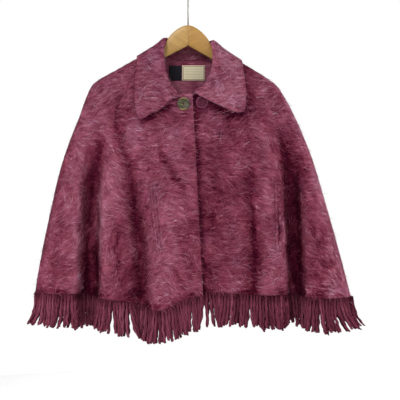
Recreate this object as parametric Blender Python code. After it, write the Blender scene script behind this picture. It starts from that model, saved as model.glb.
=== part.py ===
"""Fringed mohair cape hanging on a wooden hanger.

All sizes are in millimetres and become metres when a mesh is made. X runs to the right as seen
from the front, the front faces -Y and Z points up. The origin is the inner top of the hanger's
hook, where it bears on its rail. "Drop" is the distance below the top of the hanger's wood.
The cape is a flattened hollow form: at every height its front and back walls leave one outline,
which is the shoulder line along the hanger's arms and then the two side seams, and bulge away
from it. Left and right in piece names are the wearer's; left and right in sizes are the viewer's.
"""
import math
import random

import bmesh
import bpy
import numpy as np
from mathutils import Matrix, Vector

MM = 0.001

# The cloth and its seams
WALL = 2.5
SEAM_GAP = 0.3
SEAT_GAP = 0.45
COLLAR_WALL = 3.0
PLAN_POWER = 2.8
SEAM_NEAR = 0.9993

# The hook
WIRE_RADIUS = 1.8
HOOK_RADIUS = 20.8
HOOK_NECK = 69.0
WOOD_TOP = 111.0

# The hanger's wood
HANGER_HALF = 204.0
HANGER_THICK = 13.0
ARM_THICK = 11.0
DOME_HALF = 54.0
DOME_HEIGHT = 46.0
DOME_ROUND = (1.7, 0.75)
NOTCH_DROP = 48.6
NOTCH_FALL = 0.543
NOTCH_HALF = 60.0
ARM_HEIGHT_NECK = 31.4
ARM_HEIGHT_TIP = 18.0
ARM_END_ROUND = 8.0

# The shoulder line that the cloth takes over the hanger's arms, which hang 1.5 degrees off level
SHOULDER_HALF = 56.0
SHOULDER_DROP = 44.3
SHOULDER_FALL = 0.582
HANG_TILT = math.tan(math.radians(1.5))
CORNER_ROUND = 10.0
NECK_REACH = 30.0
CORNER_DROP = {-1: 139.0, 1: 143.0}

# The side seams: drop, reach to the left, reach to the right
SIDES = (
    (110.0, 213.0, 190.0),
    (143.0, 229.0, 211.0),
    (170.0, 240.0, 227.0),
    (223.0, 258.0, 254.0),
    (308.0, 291.0, 289.0),
    (435.0, 322.0, 327.0),
    (562.0, 348.0, 362.0),
    (680.0, 366.0, 392.0),
)

# How far the walls stand from the hanger's plane: drop, front, back
DEPTHS = (
    (20.0, 18.0, 20.0),
    (60.0, 21.0, 23.0),
    (100.0, 27.0, 28.0),
    (165.0, 38.0, 33.0),
    (260.0, 51.0, 41.0),
    (400.0, 65.0, 51.0),
    (520.0, 75.0, 59.0),
    (680.0, 86.0, 68.0),
)

# The folds. A fold starts at one drop and is full at another, runs from x_top to x_hem, and
# bulges outwards by its rise, or sinks where the rise is negative. Its two half widths are the
# viewer's left and right side of its line; a square one has steep walls and a flat bottom.
# panel, from, full, x_top, x_hem, bend, rise, half_left, half_right, square
FOLDS = (
    ("right_front", 195.0, 430.0, -222.0, -228.0, 1.0, -50.0, 22.0, 24.0, 4.0),
    ("right_front", 240.0, 520.0, -176.0, -172.0, 1.0, 9.0, 26.0, 26.0, 2.0),
    ("right_front", 200.0, 500.0, -200.0, -102.0, 2.2, -24.0, 20.0, 17.0, 2.0),
    ("right_front", 330.0, 640.0, -80.0, -52.0, 1.0, 24.0, 46.0, 54.0, 2.0),
    ("right_front", 230.0, 420.0, 4.0, 30.0, 1.0, 4.0, 34.0, 40.0, 2.0),
    ("right_front", 200.0, 600.0, -262.0, -304.0, 1.0, 8.0, 34.0, 40.0, 2.0),
    ("left_front", 0.0, 1.0, -20.0, 20.0, 1.0, -3.8, 50.0, 60.0, 4.0),
    ("left_front", 420.0, 620.0, 140.0, 150.0, 1.0, -9.0, 24.0, 18.0, 2.0),
    ("left_front", 300.0, 560.0, 190.0, 190.0, 1.0, 14.0, 30.0, 28.0, 2.0),
    ("left_front", 190.0, 420.0, 230.0, 247.0, 1.6, -48.0, 18.0, 19.0, 4.0),
    ("left_front", 220.0, 600.0, 276.0, 318.0, 1.0, 8.0, 34.0, 40.0, 2.0),
    ("back", 160.0, 560.0, -190.0, -225.0, 1.0, -24.0, 28.0, 28.0, 2.0),
    ("back", 200.0, 600.0, -118.0, -150.0, 1.0, 13.0, 34.0, 34.0, 2.0),
    ("back", 240.0, 600.0, -52.0, -60.0, 1.0, -15.0, 30.0, 34.0, 2.0),
    ("back", 260.0, 620.0, 14.0, 20.0, 1.0, 12.0, 34.0, 34.0, 2.0),
    ("back", 230.0, 600.0, 84.0, 104.0, 1.0, -17.0, 30.0, 30.0, 2.0),
    ("back", 190.0, 580.0, 150.0, 186.0, 1.0, 13.0, 32.0, 32.0, 2.0),
    ("back", 170.0, 560.0, 200.0, 262.0, 1.0, -24.0, 26.0, 26.0, 2.0),
)
FOLD_FADE = 8

# The hem: x, drop
FRONT_HEM = (
    (-380.0, 632.0),
    (-255.0, 630.0),
    (-205.0, 638.0),
    (-150.0, 646.0),
    (-106.0, 653.0),
    (-78.0, 665.0),
    (-48.0, 660.0),
    (-20.0, 646.0),
    (14.0, 634.0),
    (35.0, 630.0),
    (38.5, 624.5),
    (60.0, 624.5),
    (150.0, 631.0),
    (240.0, 632.0),
    (290.0, 639.0),
    (410.0, 640.0),
)
HEM_HALF = 370.0
BACK_HEM_RISE = 42.0
BACK_HEM_EASE = 0.16
BACK_HEM_WAVE = (3.0, 47.0)

# The front edges: x and drop at the neck, x at the hem. The right front lies on the left front.
FRONT_EDGE = {
    "right_front": (10.6, 163.0, 35.0),
    "left_front": (-28.0, 165.0, 38.5),
}

# The collar, from its front end round to the middle of the back. Each row gives the middle and
# half width of the neck seam and its drop, the roll's half width, y and drop, and the free
# edge's middle, half width and drop. At the crest row all three lie over the shoulder line,
# which gives the seam's drop there.
COLLAR = (
    (-7.0, 22.0, 166.0, 23.0, -47.5, 159.0, 8.0, 106.0, 213.0),
    (-4.2, 31.5, 160.0, 31.5, -46.4, 152.0, 8.0, 121.0, 209.0),
    (-1.5, 41.0, 152.0, 40.0, -45.0, 143.0, 6.0, 129.0, 188.0),
    (0.5, 54.0, 128.0, 53.0, -41.0, 120.0, 6.0, 130.0, 156.0),
    (1.5, 60.0, 98.0, 59.5, -36.0, 91.0, 5.0, 128.5, 122.0),
    (0.5, 62.0, 68.0, 61.0, -27.0, 57.0, 5.0, 126.0, 96.0),
    (0.0, 61.0, 46.0, 57.5, 0.0, 31.0, 5.0, 122.0, 79.0),
    (0.0, 54.0, 68.0, 52.0, 25.0, 32.0, 0.0, 110.0, 99.0),
    (0.0, 32.0, 79.0, 32.0, 32.0, 39.0, 0.0, 66.0, 122.0),
    (0.0, 0.0, 82.0, 0.0, 34.0, 42.0, 0.0, 0.0, 130.0),
)
CREST = 6
CREST_STEPS = (0.1, 0.25)
COLLAR_TIP_TILT = 6.0
COLLAR_BOW = {-1: 12.0, 1: 2.0}
ROLL_RADIUS = 5.0
LEAF_CLEAR = COLLAR_WALL + 1.4
SETTLE_STEP = 6.0
COLLAR_SEAM = 1.0

# The arm slits: x and drop of the upper end, x and drop of the lower end
SLITS = {
    "right_front": (-81.0, 377.0, -67.0, 520.0),
    "left_front": (205.0, 375.0, 207.0, 522.0),
}
SLIT_WIDE = 3.0
CUTTER_DEEP = 110.0
CUTTER_Y = -85.0
WELT_WIDE = 6.5
WELT_THICK = 1.8
WELT_LAP = 0.4
WELT_OVERRUN = 0.03

# The buttons: x, drop, radius, thickness
HORN_BUTTON = (-10.0, 189.0, 15.0, 4.2)
PLUM_BUTTON = (32.5, 185.0, 14.2, 2.4)

# The neck labels on the inside of the back: x from, x to, drop from, drop to
LABELS = {
    "neck_label_dark": (-45.5, -15.3, 91.5, 127.0),
    "neck_label_light": (-14.7, 40.0, 91.0, 127.5),
}
LABEL_THICK = 0.8

# The fringe: locks on each hem and their size
LOCKS = {"right_front": 68, "left_front": 58, "back": 84}
LOCK_LONG = 70.0
LOCK_SWAY = 5.0
LOCK_SPLAY = 16.0
LOCK_FLARE = 3.0
LOCK_WAIST = (0.13, 0.62)
LOCK_BELLY = (0.62, 0.66)
STRIP_GAP = 0.8
STRIP_TALL = 4.0
STRIP_THICK = 3.4

# How finely the cloth is divided: columns, rows
ROWS = 15
COLUMNS = {"right_front": 42, "left_front": 38, "back": 37}
LOOK_STEPS = 260

# Base colours, roughness and metallic values
FINISHES = {
    "mohair": ((0.235, 0.060, 0.105), 0.9, 0.0),
    "fringe_wool": ((0.200, 0.050, 0.090), 0.9, 0.0),
    "horn": ((0.130, 0.115, 0.055), 0.35, 0.0),
    "plum_plastic": ((0.110, 0.030, 0.065), 0.5, 0.0),
    "dark_label": ((0.020, 0.018, 0.025), 0.8, 0.0),
    "light_label": ((0.560, 0.500, 0.330), 0.8, 0.0),
    "beech": ((0.500, 0.330, 0.130), 0.5, 0.0),
    "wire": ((0.360, 0.340, 0.310), 0.35, 1.0),
}


def clear_scene():
    for item in list(bpy.data.objects):
        bpy.data.objects.remove(item, do_unlink=True)


def material(name):
    colour, rough, metal = FINISHES[name]
    made = bpy.data.materials.get(name) or bpy.data.materials.new(name)
    made.use_nodes = True
    shader = made.node_tree.nodes["Principled BSDF"]
    shader.inputs["Base Color"].default_value = (*colour, 1.0)
    shader.inputs["Roughness"].default_value = rough
    shader.inputs["Metallic"].default_value = metal
    return made


def add_object(name, mesh_data, finish):
    made = bpy.data.objects.new(name, mesh_data)
    bpy.context.scene.collection.objects.link(made)
    made.data.materials.append(material(finish))
    return made


def finish_bmesh(name, bm, finish, sharp_angle=50):
    """Turn a bmesh into an object with its faces pointing out, shaded smooth."""
    bmesh.ops.recalc_face_normals(bm, faces=bm.faces[:])
    data = bpy.data.meshes.new(name)
    bm.to_mesh(data)
    bm.free()
    data.shade_smooth()
    data.set_sharp_from_angle(angle=math.radians(sharp_angle))
    return add_object(name, data, finish)


def table_curve(rows, column):
    """A smooth curve through one column of a table, read by its first column."""
    at = np.array([row[0] for row in rows])
    value = np.array([row[column] for row in rows])
    width = np.diff(at)
    rise = np.diff(value) / width
    slope = np.concatenate(([rise[0]], 0.5 * (rise[1:] + rise[:-1]), [rise[-1]]))
    turning = rise[1:] * rise[:-1] <= 0
    slope[1:-1][turning] = 0.0

    def read(where):
        where = np.asarray(where, dtype=float)
        i = np.clip(np.searchsorted(at, where) - 1, 0, len(width) - 1)
        t = np.clip((where - at[i]) / width[i], 0.0, 1.0)
        start = value[i] * (1 + 2 * t) * (1 - t) ** 2 + slope[i] * width[i] * t * (1 - t) ** 2
        end = value[i + 1] * (3 - 2 * t) * t**2 + slope[i + 1] * width[i] * (t - 1) * t**2
        before = np.minimum(where - at[0], 0.0) * slope[0]
        after = np.maximum(where - at[-1], 0.0) * slope[-1]
        return start + end + before + after

    return read


side_left = table_curve(SIDES, 1)
side_right = table_curve(SIDES, 2)
front_depth = table_curve(DEPTHS, 1)
back_depth = table_curve(DEPTHS, 2)
front_hem = table_curve(FRONT_HEM, 1)


def ramp(value, start, end):
    t = np.clip((value - start) / (end - start), 0.0, 1.0)
    return t * t * (3 - 2 * t)


def reach(drop, side):
    """The outline's distance from the middle at a drop: the shoulder line, then the side seam."""
    fall = SHOULDER_FALL + side * HANG_TILT
    start = SHOULDER_DROP + side * HANG_TILT * SHOULDER_HALF
    shoulder = SHOULDER_HALF + (drop - start) / fall
    seam = np.where(side < 0, side_left(drop), side_right(drop))
    rounded = 0.5 * (shoulder + seam - np.sqrt((shoulder - seam) ** 2 + CORNER_ROUND**2))
    return np.maximum(rounded, NECK_REACH)


def outline_drop(x):
    """The drop of the cloth's shoulder line at x."""
    side = -1.0 if x < 0 else 1.0
    low, high = 0.0, 400.0
    for _ in range(50):
        middle = 0.5 * (low + high)
        low, high = (middle, high) if reach(middle, side) < abs(x) else (low, middle)
    return 0.5 * (low + high)


def fold_rise(panel, x, drop):
    """How far the folds of a panel bulge outwards at x and drop."""
    side = np.where(x < 0, -1.0, 1.0)
    total = np.zeros(np.broadcast(x, drop).shape)
    for name, start, full, x_top, x_hem, bend, rise, left, right, square in FOLDS:
        if name != panel:
            continue
        down = np.clip((drop - start) / (650.0 - start), 0.0, 1.0)
        line = x_hem + (x_top - x_hem) * (1 - down) ** bend
        half = np.where(x < line, left, right)
        across = np.exp(-np.abs((x - line) / half) ** square)
        total = total + rise * ramp(drop, start, full) * across
    near = np.clip(np.abs(x) / reach(drop, side), 0.0, 1.0)
    return total * (1 - near**FOLD_FADE)


def depth_of(panel, drop):
    return back_depth(drop) if panel == "back" else front_depth(drop)


def facing(panel):
    return 1.0 if panel == "back" else -1.0


def wall_y(panel, x, drop):
    """The y of a panel's outer face."""
    side = np.where(x < 0, -1.0, 1.0)
    near = np.clip(np.abs(x) / reach(drop, side), 0.0, 1.0)
    near = np.where(near > SEAM_NEAR, 1.0, near)
    bulge = depth_of(panel, drop) * (1 - near**PLAN_POWER) ** (1 / PLAN_POWER)
    return facing(panel) * (bulge + fold_rise(panel, x, drop) + 0.5 * SEAM_GAP)


def level(panel, x, y, drop):
    """Below zero inside the cape's form, zero on its outer face and above zero outside."""
    side = np.where(x < 0, -1.0, 1.0)
    near = np.abs(x) / reach(drop, side)
    deep = facing(panel) * y - fold_rise(panel, x, drop) - 0.5 * SEAM_GAP
    return near**PLAN_POWER + np.abs(deep / depth_of(panel, drop)) ** PLAN_POWER - 1


def steepest(panel, x, y, drop):
    """The gradient of the level, in x, y and z."""
    step = 0.05
    gx = level(panel, x + step, y, drop) - level(panel, x - step, y, drop)
    gy = level(panel, x, y + step, drop) - level(panel, x, y - step, drop)
    gz = level(panel, x, y, drop - step) - level(panel, x, y, drop + step)
    return np.stack((gx, gy, gz), axis=-1) / (2 * step)


def unit(vectors):
    return vectors / np.linalg.norm(vectors, axis=-1, keepdims=True)


def world(x, y, drop):
    return np.stack((x, y, -WOOD_TOP - np.asarray(drop)), axis=-1)


def wall_points(panel, x, drop):
    """Points on a panel's outer face and the directions that point out of it."""
    y = wall_y(panel, x, drop)
    inside = y + facing(panel) * -0.5 * SEAM_GAP
    return world(x, y, drop), unit(steepest(panel, x, np.where(np.abs(inside) < 1e-6, 0.0, y), drop))


def path_curve(points):
    """A smooth path through points, read by a fraction of its length."""
    points = np.asarray(points, dtype=float)
    long = np.concatenate(([0.0], np.cumsum(np.linalg.norm(np.diff(points, axis=0), axis=1))))
    rows = np.column_stack((long / long[-1], points))
    curves = [table_curve(rows, column + 1) for column in range(points.shape[1])]
    return lambda part: np.stack([curve(part) for curve in curves], axis=-1)


def joined_path(*pieces):
    """One polyline through several paths, read by a fraction of its length."""
    points = np.concatenate(pieces)
    long = np.concatenate(([0.0], np.cumsum(np.linalg.norm(np.diff(points, axis=0), axis=1))))
    part = long / long[-1]
    return lambda at: np.stack([np.interp(at, part, points[:, i]) for i in range(2)], axis=-1)


def collar_column(column, changed=None):
    """One column of the collar's table as a smooth curve over its rows."""
    values = np.array(COLLAR)[:, column]
    if changed is not None:
        values[CREST] = changed
    return table_curve(np.column_stack((np.arange(len(COLLAR)), values)), 1)


def neck_seam(row, side):
    """The neck seam's x and drop at rows of the collar, on one side."""
    crest_x = COLLAR[CREST][0] + side * COLLAR[CREST][1]
    x = collar_column(0)(row) + side * collar_column(1)(row)
    drop = collar_column(2, outline_drop(crest_x))(row)
    return np.stack((x, np.maximum(drop, [outline_drop(spot) for spot in x])), axis=-1)


def front_neckline(panel):
    side = -1 if panel == "right_front" else 1
    start = np.array([FRONT_EDGE[panel][:2]])
    return np.concatenate((start, neck_seam(np.linspace(0, CREST, 60), side)))


def back_neckline():
    row = np.linspace(CREST, len(COLLAR) - 1, 40)
    return np.concatenate((neck_seam(row, -1), neck_seam(row, 1)[-2::-1]))


def outline_run(side, start, end, count=200):
    """The outline's x and drop between two drops."""
    drop = np.linspace(start, end, count)
    return np.stack((side * reach(drop, float(side)), drop), axis=-1)


def hem_end(side):
    """Where the front's hem and the back's meet at the side seam."""
    drop = float(front_hem(side * HEM_HALF))
    return np.array((side * float(reach(drop, float(side))), drop))


def back_hem(x):
    """The back hangs shorter than the front: its hem rises between the side seams."""
    (x_left, drop_left), (x_right, drop_right) = hem_end(-1), hem_end(1)
    part = np.clip((x - x_left) / (x_right - x_left), 0.0, 1.0)
    rise = BACK_HEM_RISE * ramp(part, 0.0, BACK_HEM_EASE) * ramp(1 - part, 0.0, BACK_HEM_EASE)
    high, long = BACK_HEM_WAVE
    wave = high * np.sin(x / long) * np.sin(math.pi * part)
    return drop_left + (drop_right - drop_left) * part - rise + wave


def panel_edges(panel):
    """A panel's four edges as paths of x and drop: top, hem, and the two long edges."""
    if panel == "back":
        corner = CORNER_DROP
        neck = back_neckline()
        left = outline_run(-1, corner[-1], neck[0][1])
        right = outline_run(1, neck[-1][1], corner[1])
        top = joined_path(left, neck[1:-1], right)
        ends = hem_end(-1), hem_end(1)
        first = joined_path(outline_run(-1, corner[-1], ends[0][1]))
        last = joined_path(outline_run(1, corner[1], ends[1][1]))
        hem_at = back_hem
    else:
        side = -1 if panel == "right_front" else 1
        neck = front_neckline(panel)
        top = joined_path(neck[:-1], outline_run(side, neck[-1][1], CORNER_DROP[side]))
        edge_x, edge_drop, hem_x = FRONT_EDGE[panel]
        ends = np.array((hem_x, float(front_hem(hem_x)))), hem_end(side)
        first = joined_path(np.array(((edge_x, edge_drop), ends[0])))
        last = joined_path(outline_run(side, CORNER_DROP[side], ends[1][1]))
        hem_at = front_hem
    x = np.linspace(ends[0][0], ends[1][0], 400)
    hem = np.stack((x, hem_at(x)), axis=-1)
    hem[0], hem[-1] = ends
    return top, joined_path(hem), first, last


def row_steps(count, bend=0.4):
    """Fractions down a panel, close together over the shoulder and even further down."""
    w = np.linspace(0, 1, count + 1)
    scale = bend * (2 - bend)
    return np.where(w < bend, w * w / scale, (2 * bend * w - bend * bend) / scale)


def spread_row(edges, panel, v, count):
    """One row across a panel, its points evenly spaced along the folded cloth."""
    top, hem, first, last = edges
    s = np.linspace(0, 1, LOOK_STEPS)
    corners = [edge(end) for edge in (top, hem) for end in (0.0, 1.0)]
    ss = s[:, None]
    across = (1 - v) * top(s) + v * hem(s) + (1 - ss) * first(v) + ss * last(v)
    square = (1 - v) * ((1 - ss) * corners[0] + ss * corners[1])
    square = square + v * ((1 - ss) * corners[2] + ss * corners[3])
    flat = across - square
    points = world(flat[:, 0], wall_y(panel, flat[:, 0], flat[:, 1]), flat[:, 1])
    long = np.concatenate(([0.0], np.cumsum(np.linalg.norm(np.diff(points, axis=0), axis=1))))
    part = 0.8 * long / long[-1] + 0.2 * s
    pick = np.interp(np.linspace(0, 1, count + 1), part, s)
    return np.stack([np.interp(pick, s, flat[:, i]) for i in range(2)], axis=-1)


def panel_grid(panel):
    """The outer points of a panel and their outward directions."""
    edges = panel_edges(panel)
    flat = np.array([spread_row(edges, panel, v, COLUMNS[panel]) for v in row_steps(ROWS)])
    return wall_points(panel, flat[..., 0], flat[..., 1])


def shell(name, outer, inner, finish):
    """A closed wall between two grids of points."""
    rows, columns = outer.shape[:2]
    bm = bmesh.new()
    sheets = [[[bm.verts.new(Vector(p) * MM) for p in row] for row in grid] for grid in (outer, inner)]
    for sheet in sheets:
        for i in range(rows - 1):
            for j in range(columns - 1):
                corners = (sheet[i][j], sheet[i][j + 1], sheet[i + 1][j + 1], sheet[i + 1][j])
                bm.faces.new(corners)
    rim = [(0, j) for j in range(columns)] + [(i, columns - 1) for i in range(1, rows)]
    rim += [(rows - 1, j) for j in range(columns - 2, -1, -1)]
    rim += [(i, 0) for i in range(rows - 2, 0, -1)]
    for (i, j), (k, m) in zip(rim, rim[1:] + rim[:1]):
        bm.faces.new((sheets[0][i][j], sheets[0][k][m], sheets[1][k][m], sheets[1][i][j]))
    return finish_bmesh(name, bm, finish)


def make_panel(panel):
    points, out = panel_grid(panel)
    return shell(panel, points, points - WALL * out, "mohair")


def cut_slit(panel_object):
    """Cut the arm slit through a front panel with a thin box."""
    x_top, drop_top, x_low, drop_low = SLITS[panel_object.name]
    bm = bmesh.new()
    bmesh.ops.create_cube(bm, size=1.0)
    long = math.hypot(x_low - x_top, drop_low - drop_top)
    lean = math.atan2(x_low - x_top, drop_low - drop_top)
    bmesh.ops.scale(bm, vec=Vector((SLIT_WIDE, CUTTER_DEEP, long)) * MM, verts=bm.verts)
    turn = Matrix.Rotation(-lean, 4, "Y")
    middle = Vector((0.5 * (x_top + x_low), CUTTER_Y, -WOOD_TOP - 0.5 * (drop_top + drop_low))) * MM
    bmesh.ops.transform(bm, matrix=Matrix.Translation(middle) @ turn, verts=bm.verts)
    cutter = finish_bmesh(panel_object.name + "_slit_cutter", bm, "mohair")
    cutter.hide_render = True
    cutter.display_type = "WIRE"
    cut = panel_object.modifiers.new("arm slit", "BOOLEAN")
    cut.operation = "DIFFERENCE"
    cut.object = cutter


def make_welts(panel):
    """The two stitched lips of an arm slit, laid on the panel's outer face."""
    x_top, drop_top, x_low, drop_low = SLITS[panel]
    part = np.linspace(-WELT_OVERRUN, 1 + WELT_OVERRUN, 10)
    line = x_top + (x_low - x_top) * part
    drop = drop_top + (drop_low - drop_top) * part
    outwards = math.copysign(1.0, x_top)
    start = 0.5 * SLIT_WIDE - WELT_LAP
    for name, side in (("inner", -outwards), ("outer", outwards)):
        across = np.array((start, start + WELT_WIDE)) * side
        grids = [wall_points(panel, line + offset, drop) for offset in across]
        points = np.stack([grid[0] for grid in grids], axis=1)
        out = np.stack([grid[1] for grid in grids], axis=1)
        low = points + SEAT_GAP * out
        shell(f"{panel}_slit_welt_{name}", low + WELT_THICK * out, low, "mohair")


def collar_side(side):
    """One side of the collar from its front end to the middle of the back: seam, roll and edge."""
    middle, _, _, roll_half, roll_y, roll_drop, edge_middle, edge_half, edge_drop = (
        collar_column(column) for column in range(9)
    )
    extra = [CREST + sign * step for sign in (-1, 1) for step in CREST_STEPS]
    row = np.union1d(np.arange(0, len(COLLAR) - 0.9, 0.5), extra)
    front = "right_front" if side < 0 else "left_front"
    x, drop = neck_seam(row, side).T
    y = np.where(row <= CREST, wall_y(front, x, drop), wall_y("back", x, drop))
    roll = world(middle(row) + side * roll_half(row), roll_y(row), roll_drop(row))
    edge_x = edge_middle(row) + side * edge_half(row)
    edge_y = 60.0 * np.clip(row - CREST, -1, 1)
    tip = np.clip(1 - row / 3, 0, 1)
    edge = world(edge_x, edge_y, edge_drop(row) - side * COLLAR_TIP_TILT * tip)
    bow = np.array((0.0, 0.0, -COLLAR_BOW[side])) * (tip**2)[:, None]
    return np.stack((world(x, y, drop), roll, edge, bow))


def clearance(points):
    """How far points lie outside the cape's outer face, and the directions away from it."""
    x, y, drop = points[..., 0], points[..., 1], -WOOD_TOP - points[..., 2]
    away, out = np.zeros(x.shape), np.zeros(points.shape)
    sides = {"right_front": (y < 0) & (x < 0), "left_front": (y < 0) & (x >= 0), "back": y >= 0}
    for panel, where in sides.items():
        spot = (x[where], y[where], drop[where])
        slope = steepest(panel, *spot)
        size = np.linalg.norm(slope, axis=-1)
        away[where] = level(panel, *spot) / size
        out[where] = slope / size[:, None]
    return away, out


def settle(points, clear):
    """Move points along the cape's outward direction until they lie clear of its outer face."""
    points = points.copy()
    for _ in range(12):
        away, out = clearance(points)
        points += np.clip(clear - away, -SETTLE_STEP, SETTLE_STEP)[..., None] * out
    return points


def make_collar(leaf_steps=4):
    """The stand rises from the neck seam, rolls over and falls as a wide pointed leaf."""
    seam, roll, edge, bow = np.concatenate((collar_side(-1), collar_side(1)[:, -2::-1]), axis=1)
    along = np.gradient(roll, axis=0)
    up = unit(roll - seam)
    out = unit(np.cross(up, along))
    centre = roll - ROLL_RADIUS * up
    grid = [seam + COLLAR_SEAM * up, 0.5 * (seam + centre - ROLL_RADIUS * out)]
    for angle in np.radians((180, 135, 90, 45)):
        grid.append(centre + ROLL_RADIUS * (math.cos(angle) * out + math.sin(angle) * up))
    start = centre + ROLL_RADIUS * out
    roll_lift = clearance(start)[0] - LEAF_CLEAR
    steps = np.linspace(0, 1, leaf_steps + 1)[1:]
    leaf = np.array([(1 - s) * start + s * edge + 4 * s * (1 - s) * bow for s in steps])
    lift = np.array([LEAF_CLEAR + np.maximum(roll_lift, 1.0) * (1 - s) ** 2 for s in steps])
    grid += [start] + list(settle(leaf, lift))
    points = np.array(grid)
    across, down = np.gradient(points, axis=1), np.gradient(points, axis=0)
    normal = unit(np.cross(across, down))
    if normal[-1, len(seam) // 2, 1] < 0:
        normal = -normal
    return shell("collar", points, points - COLLAR_WALL * normal, "mohair")


def turned(name, profile, finish, sides=20):
    """A turned piece from a profile of radius and height, its axis along Z."""
    bm = bmesh.new()
    line = [bm.verts.new((r * MM, 0.0, z * MM)) for r, z in profile]
    edges = [bm.edges.new(pair) for pair in zip(line, line[1:])]
    turn = {"cent": (0, 0, 0), "axis": (0, 0, 1), "angle": 2 * math.pi, "steps": sides}
    bmesh.ops.spin(bm, geom=line + edges, use_merge=True, **turn)
    bmesh.ops.remove_doubles(bm, verts=bm.verts, dist=0.00001)
    return finish_bmesh(name, bm, finish)


def seat_on(panel, piece, x, drop, gap):
    """Stand a turned piece on a panel, its axis along the cloth's outward direction."""
    points, out = wall_points(panel, np.array([x]), np.array([drop]))
    place = Vector(points[0] + gap * out[0]) * MM
    turn = Vector(out[0]).to_track_quat("Z", "Y").to_matrix().to_4x4()
    piece.matrix_world = Matrix.Translation(place) @ turn


def make_buttons():
    x, drop, radius, thick = HORN_BUTTON
    rim = (
        (0.0, 0.0),
        (0.72 * radius, 0.0),
        (radius, 0.45 * thick),
        (0.96 * radius, 0.8 * thick),
        (0.86 * radius, thick),
        (0.66 * radius, 0.72 * thick),
        (0.18 * radius, 0.66 * thick),
        (0.10 * radius, 0.36 * thick),
        (0.0, 0.36 * thick),
    )
    horn = turned("horn_button", rim, "horn")
    seat_on("right_front", horn, x, drop, SEAM_GAP)
    x, drop, radius, thick = PLUM_BUTTON
    rim = (
        (0.0, 0.0),
        (0.9 * radius, 0.0),
        (radius, 0.4 * thick),
        (0.93 * radius, thick),
        (0.78 * radius, 0.7 * thick),
        (0.0, 0.7 * thick),
    )
    plum = turned("plum_button", rim, "plum_plastic")
    seat_on("left_front", plum, x, drop, SEAT_GAP)


def make_label(name, finish):
    x_left, x_right, drop_top, drop_low = LABELS[name]
    x, drop = np.meshgrid(np.linspace(x_left, x_right, 5), np.linspace(drop_top, drop_low, 4))
    points, out = wall_points("back", x, drop)
    back = points - (WALL + SEAT_GAP) * out
    shell(name, back, back - LABEL_THICK * out, finish)


def hem_line(panel, count):
    """Evenly spaced points along a panel's hem and their outward directions."""
    edges = panel_edges(panel)
    flat = spread_row(edges, panel, 1.0, count)
    return wall_points(panel, flat[:, 0], flat[:, 1])


def make_fringe(panel, seed):
    """A strip under the hem with its locks: each lock grows from its own stretch of the strip."""
    count = LOCKS[panel]
    points, out = hem_line(panel, count)
    flat_out = unit(out * np.array((1.0, 1.0, 0.0)))
    top = points - np.array((0.0, 0.0, STRIP_GAP))
    low = top - np.array((0.0, 0.0, STRIP_TALL))
    back = flat_out * STRIP_THICK
    bm = bmesh.new()
    rings = []
    for corners in zip(top, top - back, low - back, low):
        rings.append([bm.verts.new(Vector(p) * MM) for p in corners])
    for a, b in zip(rings, rings[1:]):
        join_rings(bm, a, b, (3, 0, 1))
    bm.faces.new(rings[0])
    bm.faces.new(rings[-1])
    draw = random.Random(seed)
    phase = [draw.uniform(0, 2 * math.pi) for _ in range(4)]
    for k in range(count):
        ring = [rings[k][3], rings[k][2], rings[k + 1][2], rings[k + 1][3]]
        wave = [math.sin(often * k / count + start) for often, start in zip((23, 61, 31, 17), phase)]
        long = LOCK_LONG - STRIP_TALL + 3.5 * wave[3] + draw.uniform(-3, 3)
        side = np.clip(0.5 * (low[k][0] + low[k + 1][0]) / HEM_HALF, -1, 1)
        lean = np.array((LOCK_SWAY * (wave[0] + 0.6 * wave[1]) + LOCK_SPLAY * side**5, 2.5 * wave[2], 0.0))
        add_lock(bm, ring, lean + LOCK_FLARE * flat_out[k], long)
    return finish_bmesh("fringe_" + panel, bm, "fringe_wool")


def join_rings(bm, a, b, sides):
    """Faces between two rings of four corners, on the sides asked for."""
    for m in sides:
        n = (m + 1) % 4
        bm.faces.new((a[m], a[n], b[n], b[m]))


def add_lock(bm, ring, lean, long):
    """One lock of yarn, from a ring of the strip's corners down to its tip."""
    root = np.array([vert.co for vert in ring]) / MM
    middle = root.mean(axis=0)
    for down, wide in (LOCK_WAIST, LOCK_BELLY):
        shift = middle + lean * down**1.6 - np.array((0.0, 0.0, long * down))
        new = [bm.verts.new(Vector(shift + (corner - middle) * wide) * MM) for corner in root]
        join_rings(bm, ring, new, range(4))
        ring = new
    tip = bm.verts.new(Vector(middle + lean - np.array((0.0, 0.0, long))) * MM)
    for m in range(4):
        bm.faces.new((ring[m], ring[(m + 1) % 4], tip))


def wood_top(x):
    """The drop of the wood's upper edge: the dome, then the arm just under the cloth."""
    tilt = HANG_TILT * x
    if abs(x) < DOME_HALF:
        share = 1 - (abs(x) / DOME_HALF) ** DOME_ROUND[0]
        return DOME_HEIGHT * (1 - share ** DOME_ROUND[1]) + tilt
    step = 1.0 if x > 0 else -1.0
    fall = outline_drop(x + step) - outline_drop(x)
    clear = (WALL + SEAM_GAP) * math.hypot(1, fall)
    return max(outline_drop(x) + clear, DOME_HEIGHT + tilt)


def wood_low(x):
    """The drop of the wood's lower edge: the notch, then the tapering arm."""
    if abs(x) < NOTCH_HALF:
        return NOTCH_DROP + NOTCH_FALL * abs(x) + HANG_TILT * x
    part = (abs(x) - NOTCH_HALF) / (HANGER_HALF - NOTCH_HALF)
    return wood_top(x) + ARM_HEIGHT_NECK + (ARM_HEIGHT_TIP - ARM_HEIGHT_NECK) * part


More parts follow.
